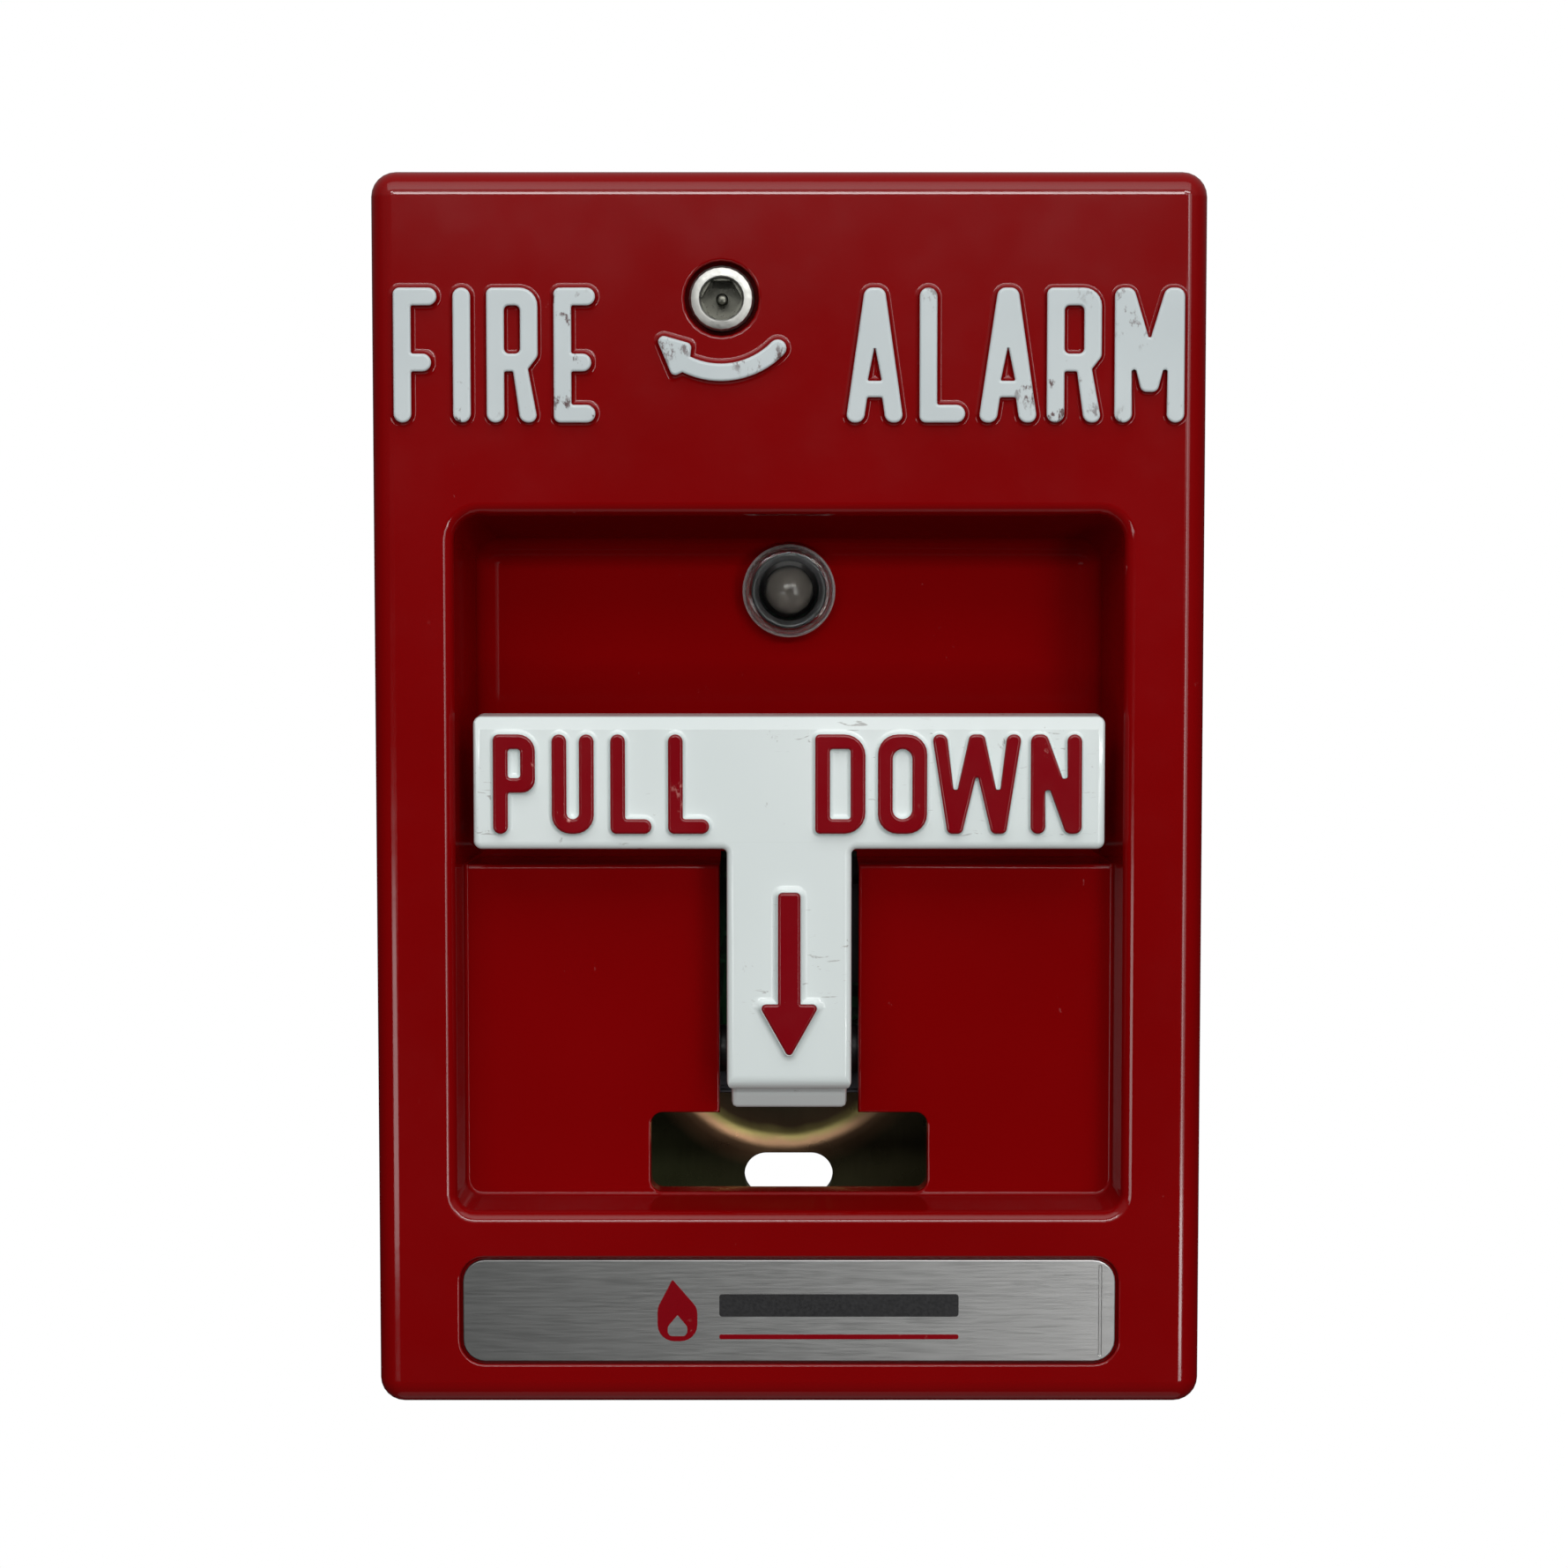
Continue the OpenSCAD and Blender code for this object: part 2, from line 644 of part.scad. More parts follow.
module front_cover() color("firebrick") {
    side_wall = cover_w / 2 - wall;
    difference() {
        union() {
            difference() {
                cover_block();
                along_y(INNER, EPS) rounded(2 * side_wall, cover_h - 2 * wall, 1);
                block([-side_wall, side_wall], [hinge_y, EPS], [-cover_h / 2 - EPS, hinge_z]);
                along_x(-cover_w, cover_w) polygon([[hinge_y, -cover_h / 2 - EPS],
                    [hinge_y, -cover_h / 2], [RIM, hinge_z - 0.2], [EPS, hinge_z - 0.2],
                    [EPS, -cover_h / 2 - EPS]]);
            }
            block([-recess_w / 2 - tub_wall, recess_w / 2 + tub_wall], [INNER - 0.5, WELL_BACK],
                [-panel_top - tub_wall, recess_top + tub_wall]);
            block([-recess_w / 2 - tub_wall, recess_w / 2 + tub_wall], [INNER - 0.5, PANEL_BACK],
                [-recess_bottom - tub_wall, -panel_top]);
            both_sides() hinge_knuckles();
            both_sides() pivot_lugs();
            rod_y(lock_x, lock_z, 6, INNER - 0.5, -20);
        }
        well_space();
        panel_space();
        block([-slot_w / 2, slot_w / 2], [PANEL_Y - EPS, PANEL_BACK + EPS],
            [-window_top - EPS, -panel_top + 0.5]);
        block([-slot_w / 2, slot_w / 2], [PANEL_Y - EPS, WELL_BACK + EPS],
            [-panel_top - tub_wall - EPS, -panel_top + 0.5]);
        block([-window_w / 2, window_w / 2], [PANEL_Y - EPS, PANEL_BACK + EPS],
            [-window_bottom, -window_top]);
        rod_y(lock_x, lock_z, lock_r + 0.45, FRONT - EPS, FRONT + 1.2);
        rod_y(lock_x, lock_z, lock_r + RUN, FRONT, -19);
        rod_y(0, led_z, 3.85 + RUN, WELL_Y - EPS, WELL_BACK + EPS);
        translate([0, 0, plate_pocket_z]) along_y(FRONT - EPS, FRONT + 0.9) rounded(66, 10.9, 2.4);
        for (side = [-1, 1]) {
            ear_mid = side * (ear_x + ear_t / 2);
            half = ear_t / 2 + 0.5;
            block([ear_mid - half, ear_mid + half], [hinge_y - 3.2, EPS],
                [-cover_h / 2 - EPS, hinge_z + 3.4]);
            rod_x(hinge_y, hinge_z, hinge_pin_r + FIT, side * 33 - 7.8, side * 33 + 7.8);
            rod_y(side * (lug_in + lug_out) / 2, -30.6, 1.05, pivot_y, pivot_y + 5);
        }
        rod_x(pivot_y, pivot_z, pivot_r + FIT, -lug_out - EPS, lug_out + EPS);
    }
    along_y(FRONT - relief, FRONT + 0.2) {
        translate([-38.8, caps_z])
            word("FIRE", [4.1, 1.55, 4.85, 3.9], [1.75, 1.75, 1.75, 0], caps_h, caps_stroke);
        translate([5.65, caps_z])
            word("ALARM", [5.5, 4.3, 5.6, 5.2, 6.7], [1.45, 1.45, 1.45, 1.45, 0], caps_h, caps_stroke);
        translate([lock_x, lock_z]) turn_arrow();
    }
}

module name_plate() color("lightgray") {
    translate([0, 0, plate_pocket_z]) along_y(FRONT + 0.1, FRONT + 0.9 - FIT) rounded(65.4, 10.3, 2.2);
}

module lens_bezel() color("black") {
    difference() {
        union() {
            rod_y(0, led_z, 3.85, WELL_Y - 1.7, WELL_BACK + 0.6);
            rod_y(0, led_z, 5, WELL_BACK + FIT, WELL_BACK + 0.6);
        }
        rod_y(0, led_z, 3.05, WELL_Y - 3, WELL_BACK + 2);
    }
}

module status_lens() color("lightcyan") {
    translate([0, WELL_Y - FIT, led_z]) rotate([90, 0, 0]) rotate_extrude() polygon(concat(
        [[3.95, 0], [4.75, 0]], arc(3.75, 1.6, 1, 0, 60, 5), [[0, 3], [0, 2.2], [3.2, 2.0], [3.95, 1.7]]));
}

module hinge_pins() color("silver") {
    both_sides() rod_x(hinge_y, hinge_z, hinge_pin_r, ear_x - 4.5, ear_x + 8.3);
}

module pivot_pin() color("silver") {
    difference() {
        rod_x(pivot_y, pivot_z, pivot_r, -12.2, 12.2);
        for (side = [-1, 1])
            difference() {
                rod_x(pivot_y, pivot_z, pivot_r + 1, side * 10.9 - 0.4, side * 10.9 + 0.4);
                rod_x(pivot_y, pivot_z, 1.15, side * 10.9 - 1, side * 10.9 + 1);
            }
    }
}

module pivot_clips() color("gray") {
    for (side = [-1, 1])
        difference() {
            rod_x(pivot_y, pivot_z, 2.4, side * 10.9 - 0.3, side * 10.9 + 0.3);
            rod_x(pivot_y, pivot_z, 1.15 + FIT, side * 10.9 - 1, side * 10.9 + 1);
            block([side * 10.9 - 1, side * 10.9 + 1], [pivot_y - 4, pivot_y], [pivot_z - 0.9, pivot_z + 0.9]);
        }
}

spring_y = pivot_y + 3.5;

module detent_spring() color("lightsteelblue") {
    difference() {
        union() {
            block([-lug_out, lug_out], [spring_y, spring_y + 0.4], [-32.2, -31.2]);
            both_sides() block([lug_in - 1, lug_out], [spring_y, spring_y + 0.4], [-32.2, -29.2]);
        }
        for (side = [-1, 1])
            rod_y(side * (lug_in + lug_out) / 2, -30.6, 1.1, spring_y - EPS, spring_y + EPS);
    }
    block([-1.5, 1.5], [spring_y - 1, spring_y + 0.1], [-32.2, -31.2]);
}

module detent_screws() color("silver") {
    for (side = [-1, 1]) {
        x = side * (lug_in + lug_out) / 2;
        rod_y(x, -30.6, 1, pivot_y + 0.5, spring_y + 0.6);
        difference() {
            rod_y(x, -30.6, 1.5, spring_y + 0.4, spring_y + 1.4);
            block([x - 2, x + 2], [spring_y + 0.9, spring_y + 2], [-30.85, -30.35]);
        }
    }
}

// ---- Lock ----------------------------------------------------------------

module lock_barrel() color("silver") {
    difference() {
        union() {
            rod_y(lock_x, lock_z, lock_r, FRONT - 0.5, -19.7);
            rod_y(lock_x, lock_z, 2.4, -20, -18);
            rod_y(lock_x, lock_z, lock_r, -18.9, cam_y - FIT);
            rod_y(lock_x, lock_z, 2, -14, cam_y + cam_t);
        }
        translate([lock_x, FRONT + 6, lock_z]) rotate([90, 0, 0])
            cylinder(h = 8, r = key_af / sqrt(3), $fn = 6);
        rod_y(lock_x, lock_z, 0.95, -17, cam_y + cam_t + EPS);
    }
    rod_y(lock_x, lock_z, guard_pin_r, FRONT + 2.5, FRONT + 6 + EPS);
}

module lock_clip() color("gray") {
    difference() {
        rod_y(lock_x, lock_z, 5, -19.6, -19);
        rod_y(lock_x, lock_z, 2.4 + FIT, -21, -17);
        block([lock_x - 2, lock_x + 2], [-21, -17], [lock_z, lock_z + 6]);
    }
}

module latch_cam() color("silver") {
    difference() {
        along_y(cam_y, cam_y + cam_t) union() {
            translate([lock_x, lock_z]) circle(r = 4);
            translate([lock_x, lock_z - 3]) square([5.3, 6]);
        }
        rod_y(lock_x, lock_z, 2 + FIT, cam_y - EPS, cam_y + cam_t + EPS);
    }
}

module cam_screw() color("dimgray") {
    rod_y(lock_x, lock_z, 0.9, -16, cam_y + cam_t + 0.3);
    difference() {
        rod_y(lock_x, lock_z, 3, cam_y + cam_t + FIT, cam_y + cam_t + 1.7);
        block([lock_x - 4, lock_x + 4], [cam_y + cam_t + 1, cam_y + cam_t + 3],
            [lock_z - 0.4, lock_z + 0.4]);
    }
}

// ---- Handle --------------------------------------------------------------

// Side outline of the stem, its foot and the hub that the pivot pin runs through
module stem_side() {
    polygon([[HANDLE_Y, bar_top - bar_h + 1], [HANDLE_Y + bar_t, bar_top - bar_h + 1],
        [HANDLE_Y + 8, -9.9], [HANDLE_Y + 8, pivot_z + 6], [pivot_y, pivot_z + 3],
        [pivot_y, pivot_z - 3], [-21.5, -31.9], [-26.5, -31.9], [-26.5, -stem_end],
        [HANDLE_Y + 1.2, -stem_end], [HANDLE_Y, -stem_end + 1.2]]);
}

module pull_handle() color("whitesmoke") {
    difference() {
        union() {
            translate([0, 0, bar_top - bar_h / 2])
                along_y(HANDLE_Y, HANDLE_Y + bar_t) rounded(bar_w, bar_h, 0.8);
            along_x(-stem_w / 2, stem_w / 2) stem_side();
            rod_x(pivot_y, pivot_z, hub_r, -stem_w / 2 + 0.1, stem_w / 2 - 0.1);
            along_x(-2.5, 2.5) polygon([[pivot_y, pivot_z - 2.9], [pivot_y + nose_y, pivot_z - 4.6],
                [pivot_y + nose_y, pivot_z - 3.3], [pivot_y + 1, pivot_z - 1.5]]);
            rod_x(pivot_y + nose_y, pivot_z + nose_z, nose_r, -2.5, 2.5);
        }
        rod_x(pivot_y, pivot_z, pivot_r + RUN, -stem_w, stem_w);
    }
    color("firebrick") along_y(HANDLE_Y - relief, HANDLE_Y + 0.2) {
        translate([-29.2, bar_caps_z])
            word("PULL", [4, 4, 3.9, 3.9], [1.8, 1.8, 1.8, 0], bar_caps_h, bar_caps_stroke);
        translate([2.65, bar_caps_z])
            word("DOWN", [4.8, 4.7, 8.7, 4.9], [1.4, 0.65, 1.05, 0], bar_caps_h, bar_caps_stroke);
        down_arrow();
    }
}

module pivot_washers() color("black") {
    for (side = [-1, 1]) {
        x = side * (stem_w / 2 + lug_in) / 2;
        difference() {
            rod_x(pivot_y, pivot_z, 2.4, x - 0.4, x + 0.4);
            rod_x(pivot_y, pivot_z, pivot_r + RUN, x - 1, x + 1);
        }
    }
}

back_plate();
board_standoffs();
circuit_board();
board_screws();
terminal_block();
terminal_screws();
terminal_clamps();
switch_body();
switch_pins();
lever_pin();
status_led();
led_spacer();
dial_bodies();
controller_chip();
board_capacitors();
ground_screw();
front_cover();
name_plate();
status_lens();
lens_bezel();
hinge_pins();
pivot_pin();
pivot_clips();
detent_spring();
detent_screws();
lock_barrel();
lock_clip();
latch_cam();
cam_screw();
pull_handle();
pivot_washers();
switch_lever();
switch_plunger();
tens_dial();
ones_dial();
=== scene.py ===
# Looks of a manual fire alarm call point: the pressed and cast pieces are built here in detail,
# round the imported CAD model, and every other CAD node gets small broken edges and a material.
import json
import math

import bmesh
import bpy
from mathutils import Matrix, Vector
from mathutils.geometry import tessellate_polygon

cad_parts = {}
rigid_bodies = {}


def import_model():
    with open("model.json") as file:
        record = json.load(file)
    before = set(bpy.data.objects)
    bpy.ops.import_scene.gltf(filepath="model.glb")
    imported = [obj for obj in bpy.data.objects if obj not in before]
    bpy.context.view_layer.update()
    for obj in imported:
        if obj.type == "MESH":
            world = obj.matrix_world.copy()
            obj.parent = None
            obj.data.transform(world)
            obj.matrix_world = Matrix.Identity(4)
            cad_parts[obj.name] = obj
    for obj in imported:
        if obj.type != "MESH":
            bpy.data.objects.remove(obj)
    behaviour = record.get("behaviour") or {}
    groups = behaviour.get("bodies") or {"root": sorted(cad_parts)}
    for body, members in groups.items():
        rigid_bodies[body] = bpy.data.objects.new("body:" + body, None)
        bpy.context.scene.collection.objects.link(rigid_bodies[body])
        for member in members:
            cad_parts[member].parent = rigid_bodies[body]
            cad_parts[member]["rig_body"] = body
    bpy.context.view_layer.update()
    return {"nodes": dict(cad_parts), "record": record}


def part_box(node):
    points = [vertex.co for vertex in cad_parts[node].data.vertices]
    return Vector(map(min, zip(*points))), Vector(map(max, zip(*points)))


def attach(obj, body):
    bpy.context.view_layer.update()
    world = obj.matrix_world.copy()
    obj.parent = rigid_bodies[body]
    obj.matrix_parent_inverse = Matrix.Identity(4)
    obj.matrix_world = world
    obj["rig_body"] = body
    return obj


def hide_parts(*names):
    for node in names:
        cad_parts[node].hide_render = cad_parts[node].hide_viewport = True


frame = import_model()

MM = 0.001
nodes = frame["nodes"]
BODY_OF = {name: nodes[name]["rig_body"] for name in nodes}


def box_mm(node):
    """Lowest and highest corners of a CAD node, in millimetres."""
    low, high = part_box(node)
    return [c / MM for c in low], [c / MM for c in high]


# ---- Driving places, read from the frame ---------------------------------

COVER_LOW, COVER_HIGH = box_mm("front_cover")
COVER_W = COVER_HIGH[0] - COVER_LOW[0]
COVER_H = COVER_HIGH[2] - COVER_LOW[2]
RELIEF = 0.8                      # the lettering stands this far in front of the face
FRONT = COVER_LOW[1] + RELIEF
RIM = COVER_HIGH[1]
WALL = 2.4
CORNER_R = 2.5
EDGE_R = 2.3                      # round along the front edges
INNER = FRONT + WALL

RECESS_HALF = 33.2
RECESS_TOP = 27.8
RECESS_BOTTOM = -41.85
RECESS_R = 2.5
MOUTH_R = 1.25
WELL_DEPTH = 16
WELL_Y = FRONT + WELL_DEPTH
WELL_BACK = WELL_Y + 2
WELL_DRAFT_SIDE = 1.5             # the walls lean in by this much over the well's depth
WELL_DRAFT_TOP = 3.0
PANEL_DEPTH = 6
PANEL_Y = FRONT + PANEL_DEPTH
PANEL_BACK = PANEL_Y + 3
PANEL_TOP = -7.5
PANEL_LIP_R = 0.45
PANEL_LIP_HALF = 32.3
PANEL_DRAFT_LOW = 0.65            # the lower wall leans in by this much over the panel's depth
SLOT_HALF = 7.0
WINDOW_HALF = 14.0
WINDOW_Z = (-40.9, -32.8)

HINGE_Y = -3.6
HINGE_Z = 3.3 - COVER_H / 2
EAR_X = 30.0
EAR_T = 1.6
PIVOT_Y = -17.0
PIVOT_Z = -27.0
LUG_X = (7.2, 10.2)
HINGE_BORE_R = 1.28
HINGE_BOSS_R = 3.2
PIVOT_BORE_R = 1.53

LOCK_LOW, LOCK_HIGH = box_mm("lock_barrel")
LOCK_X = (LOCK_LOW[0] + LOCK_HIGH[0]) / 2
LOCK_Z = (LOCK_LOW[2] + LOCK_HIGH[2]) / 2
LOCK_R = (LOCK_HIGH[0] - LOCK_LOW[0]) / 2
SCREW_TIP = box_mm("cam_screw")[0][1] - 0.5
LENS_LOW, LENS_HIGH = box_mm("status_lens")
LENS_Z = (LENS_LOW[2] + LENS_HIGH[2]) / 2
PLATE_LOW, PLATE_HIGH = box_mm("name_plate")
STRIP_Z = (PLATE_LOW[2] + PLATE_HIGH[2]) / 2

HANDLE_LOW, HANDLE_HIGH = box_mm("pull_handle")
HANDLE_Y = HANDLE_LOW[1] + RELIEF
BAR_HALF = HANDLE_HIGH[0]
BAR_TOP = HANDLE_HIGH[2]
BAR_LOW = BAR_TOP - 13.2
BAR_T = 5.5
STEM_HALF = 6.2
STEM_END = -29.5
HANDLE_DRAFT = 0.15


# ---- Outlines ------------------------------------------------------------
# An outline is a list of (u, v, radius) corners with the material on its left. grown() rounds the
# corners and moves the whole outline outwards, always with the same number of points.

ARC_STEP = math.radians(15)
SMALLEST_R = 0.03


def grown(corners, offset=0.0):
    count = len(corners)
    at = [Vector(c[:2]) for c in corners]
    along = [(at[(i + 1) % count] - at[i]).normalized() for i in range(count)]
    tips, turns = [], []
    for i in range(count):
        a, b = along[i - 1], along[i]
        turn = math.atan2(a.cross(b), a.dot(b))
        turns.append(turn)
        out = Vector((a.y, -a.x)) + Vector((b.y, -b.x))
        tips.append(at[i] + out * offset / max(0.1, 1 + a.dot(b)))
    points = []
    for i in range(count):
        turn = turns[i]
        steps = max(1, math.ceil(abs(turn) / ARC_STEP)) if corners[i][2] > 0 else 0
        if steps == 0:
            points.append(tips[i])
            continue
        room = min((tips[i] - tips[i - 1]).length, (tips[(i + 1) % count] - tips[i]).length) / 2
        slope = math.tan(abs(turn) / 2)
        radius = corners[i][2] + math.copysign(1, turn) * offset
        radius = max(SMALLEST_R, min(radius, 0.999 * room / slope))
        start = tips[i] - along[i - 1] * radius * slope
        side = math.copysign(1, turn)
        centre = start + Vector((-along[i - 1].y, along[i - 1].x)) * radius * side
        spoke = start - centre
        for k in range(steps + 1):
            angle = turn * k / steps
            points.append(centre + Vector((
                spoke.x * math.cos(angle) - spoke.y * math.sin(angle),
                spoke.x * math.sin(angle) + spoke.y * math.cos(angle))))
    return points


def rectangle(u0, u1, v0, v1, r):
    return [(u0, v0, r), (u1, v0, r), (u1, v1, r), (u0, v1, r)]


def disc(u, v, r):
    return rectangle(u - r, u + r, v - r, v + r, r)


def arc_points(u, v, r, a0, a1, count):
    angles = [math.radians(a0 + (a1 - a0) * i / count) for i in range(count + 1)]
    return [(u + r * math.cos(a), v + r * math.sin(a)) for a in angles]


# ---- Solids --------------------------------------------------------------
# A solid is a closed bmesh in millimetres, turned into a piece at the end.

def facing_front(u, v, w):
    return (u, w, v)


def facing_side(u, v, w):
    return (w, u, v)


def cap(bm, rings, slot):
    """Flat fill between a ring and the rings of its holes."""
    flat = [v for ring in rings for v in ring]
    for tri in tessellate_polygon([[v.co for v in ring] for ring in rings]):
        corners = [flat[i] for i in tri]
        if len(set(corners)) == 3 and not bm.faces.get(corners):
            bm.faces.new(corners).material_index = slot


def solid(outlines, levels, place=facing_front, slots=None):
    """Closed solid through the levels. A level is (offset, depth) or (outlines, offset, depth);
    slots gives the material slot of each band between levels, and then of the two ends."""
    bm = bmesh.new()
    stack = []
    for level in levels:
        shapes = outlines if len(level) == 2 else level[0]
        offset, depth = level[-2:]
        stack.append([[bm.verts.new(place(p.x, p.y, depth)) for p in grown(shape, offset)]
                      for shape in shapes])
    slots = slots or [0] * (len(levels) + 1)
    for k in range(len(stack) - 1):
        for a, b in zip(stack[k], stack[k + 1]):
            for i in range(len(a)):
                j = (i + 1) % len(a)
                bm.faces.new((a[i], a[j], b[j], b[i])).material_index = slots[k]
    cap(bm, stack[0], slots[-2])
    cap(bm, stack[-1], slots[-1])
    bmesh.ops.recalc_face_normals(bm, faces=bm.faces)
    return bm


def block(x, y, z, r=0.0):
    """Box between pairs of limits, its edges along Y rounded."""
    return solid([rectangle(x[0], x[1], z[0], z[1], r)], [(0, y[0]), (0, y[1])])


def rod(x, z, r, y0, y1, chamfer=0.0):
    """Round bar along Y with chamfered ends."""
    levels = [(0, y0), (0, y1)]
    if chamfer:
        levels = [(-chamfer, y0), (0, y0 + chamfer), (0, y1 - chamfer), (-chamfer, y1)]
    return solid([disc(x, z, r)], levels)


def bar_x(y, z, r, x0, x1):
    """Round bar along X."""
    return solid([disc(y, z, r)], [(0, x0), (0, x1)], facing_side)


def round_edge(radius, depth, side, steps=6):
    """Levels of a convex quarter round: from flat at depth to upright, side gives its direction."""
    angles = [math.pi / 2 * i / steps for i in range(steps + 1)]
    return [(-radius * (1 - math.sin(a)), depth + side * radius * (1 - math.cos(a))) for a in angles]


def round_foot(radius, depth, side, steps=5):
    """Levels of a concave quarter round, from its wide start on the flat at depth to upright."""
    angles = [math.pi / 2 * i / steps for i in range(steps + 1)]
    return [(radius * (1 - math.sin(a)), depth + side * radius * (1 - math.cos(a))) for a in angles]


def joined(parts):
    """One bmesh of separate solids that don't touch."""
    whole = bmesh.new()
    for part in parts:
        mesh = bpy.data.meshes.new("part")
        part.to_mesh(mesh)
        part.free()
        whole.from_mesh(mesh)
        bpy.data.meshes.remove(mesh)
    return whole


MOST_SLOTS = 3        # materials that one piece may carry


class Casting:
    """A solid that grows and is cut, one tool at a time."""

    def __init__(self, bm, name):
        self.piece = self._object(bm, name)

    @staticmethod
    def _object(bm, name):
        mesh = bpy.data.meshes.new(name)
        bm.to_mesh(mesh)
        bm.free()
        for _ in range(MOST_SLOTS):
            mesh.materials.append(None)
        thing = bpy.data.objects.new(name, mesh)
        bpy.context.scene.collection.objects.link(thing)
        return thing

    def _apply(self, bm, operation):
        tool = self._object(bm, "tool")
        step = self.piece.modifiers.new("step", "BOOLEAN")
        step.operation = operation
        step.solver = "MANIFOLD"
        step.object = tool
        graph = bpy.context.evaluated_depsgraph_get()
        result = bpy.data.meshes.new_from_object(self.piece.evaluated_get(graph))
        self.piece.modifiers.remove(step)
        self.piece.data = result
        bpy.data.objects.remove(tool)

    def add(self, *solids):
        for bm in solids:
            self._apply(bm, "UNION")

    def cut(self, *solids):
        for bm in solids:
            self._apply(bm, "DIFFERENCE")

    def solid(self):
        """The casting as a bmesh again, to use it as a tool."""
        bm = bmesh.new()
        bm.from_mesh(self.piece.data)
        bpy.data.objects.remove(self.piece)
        return bm


def finish_piece(piece, body, materials, replaced, sharp=40):
    """Scales a piece to metres, gives it materials and smooth shading, and ties it to its body."""
    mesh = piece.data
    bm = bmesh.new()
    bm.from_mesh(mesh)
    bmesh.ops.scale(bm, vec=(MM, MM, MM), verts=bm.verts)
    bmesh.ops.remove_doubles(bm, verts=bm.verts, dist=2e-6)
    bmesh.ops.dissolve_degenerate(bm, edges=bm.edges, dist=1e-7)
    bm.to_mesh(mesh)
    bm.free()
    for i in range(MOST_SLOTS):
        mesh.materials[i] = materials[min(i, len(materials) - 1)]
    for face in mesh.polygons:
        face.use_smooth = True
    mesh.set_sharp_from_angle(angle=math.radians(sharp))
    even = piece.modifiers.new("even", "WEIGHTED_NORMAL")
    even.keep_sharp = True
    even.weight = 80
    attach(piece, body)
    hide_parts(*replaced)


# ---- Lettering -----------------------------------------------------------
# Plain strokes with round ends. w is a letter's width, h its height and s its stroke.

CROTCH = 0.3          # radius of inner corners


def counter(x0, x1, z0, z1, r):
    """The hole of a closed letter: its corners run the other way round."""
    return [(x0, z0, r), (x0, z1, r), (x1, z1, r), (x1, z0, r)]


def letter_a(w, h, s):
    e = s / 2
    top = 0.58 * s
    lean = (w / 2 - top) / h
    low = 0.19 * h
    hole_low = 0.3 * h
    hole_half = w / 2 - hole_low * lean - 0.9 * s
    return [
        [(0, 0, e), (s * 1.02, 0, e), (s * 1.02 + low * lean, low, CROTCH),
         (w - s * 1.02 - low * lean, low, CROTCH), (w - s * 1.02, 0, e), (w, 0, e),
         (w / 2 + top, h, 0.75), (w / 2 - top, h, 0.75)],
        [(w / 2 - hole_half, hole_low, 0.22), (w / 2, 0.6 * h, 0.15),
         (w / 2 + hole_half, hole_low, 0.22)],
    ]


def letter_d(w, h, s):
    r = w * 0.42
    return [[(0, 0, 0.4), (w, 0, r), (w, h, r), (0, h, 0.4)],
            counter(s, w - s, s, h - s, 0.35)]


def letter_e(w, h, s):
    e = s / 2
    mid = 0.385 * h
    return [[(0, 0, 0.55), (w, 0, e), (w, s, e), (s, s, CROTCH), (s, mid, CROTCH), (0.9 * w, mid, e),
             (0.9 * w, mid + s, e), (s, mid + s, CROTCH), (s, h - s, CROTCH), (w, h - s, e),
             (w, h, e), (0, h, 0.55)]]


def letter_f(w, h, s):
    e = s / 2
    mid = 0.385 * h
    return [[(0, 0, e), (s, 0, e), (s, mid, CROTCH), (0.86 * w, mid, e), (0.86 * w, mid + s, e),
             (s, mid + s, CROTCH), (s, h - s, CROTCH), (w, h - s, e), (w, h, e), (0, h, 0.55)]]


def letter_i(w, h, s):
    return [[(0, 0, s / 2), (s, 0, s / 2), (s, h, s / 2), (0, h, s / 2)]]


def letter_l(w, h, s):
    e = s / 2
    return [[(0, 0, 0.55), (w, 0, e), (w, s, e), (s, s, CROTCH), (s, h, e), (0, h, e)]]


def letter_m(w, h, s):
    e = s / 2
    return [[(0, 0, e), (s, 0, e), (s, 0.52 * h, CROTCH), (w / 2 - 0.45 * s, 0.23 * h, 0.6),
             (w / 2 + 0.45 * s, 0.23 * h, 0.6), (w - s, 0.52 * h, CROTCH), (w - s, 0, e), (w, 0, e),
             (w, h, e), (w - 1.1 * s, h, e), (w / 2, 0.58 * h, 0.25), (1.1 * s, h, e), (0, h, e)]]


def letter_n(w, h, s):
    e = s / 2
    return [[(0, 0, e), (s, 0, e), (s, 0.6 * h, CROTCH), (w - 1.1 * s, 0, e), (w, 0, e), (w, h, e),
             (w - s, h, e), (w - s, 0.4 * h, CROTCH), (1.1 * s, h, e), (0, h, e)]]


def letter_o(w, h, s):
    r = w * 0.4
    return [[(0, 0, r), (w, 0, r), (w, h, r), (0, h, r)],
            counter(s, w - s, s, h - s, w * 0.4 - 0.6 * s)]


def letter_p(w, h, s):
    e = s / 2
    low = 0.42 * h
    return [[(0, 0, e), (s, 0, e), (s, low, CROTCH), (w, low, w * 0.4), (w, h, w * 0.4), (0, h, 0.5)],
            counter(s, w - s, low + s, h - s, 0.4)]


def letter_r(w, h, s):
    e = s / 2
    low = 0.385 * h
    return [[(0, 0, e), (s, 0, e), (s, low, CROTCH), (w - 1.45 * s, low, CROTCH), (w - s, 0, e),
             (w, 0, e), (w - 0.62 * s, low + 0.1 * s, 0.35), (w, low + 0.9 * s, 0.8), (w, h, 1.7),
             (0, h, 0.55)],
            counter(s, w - s, low + s, h - s, 0.6)]


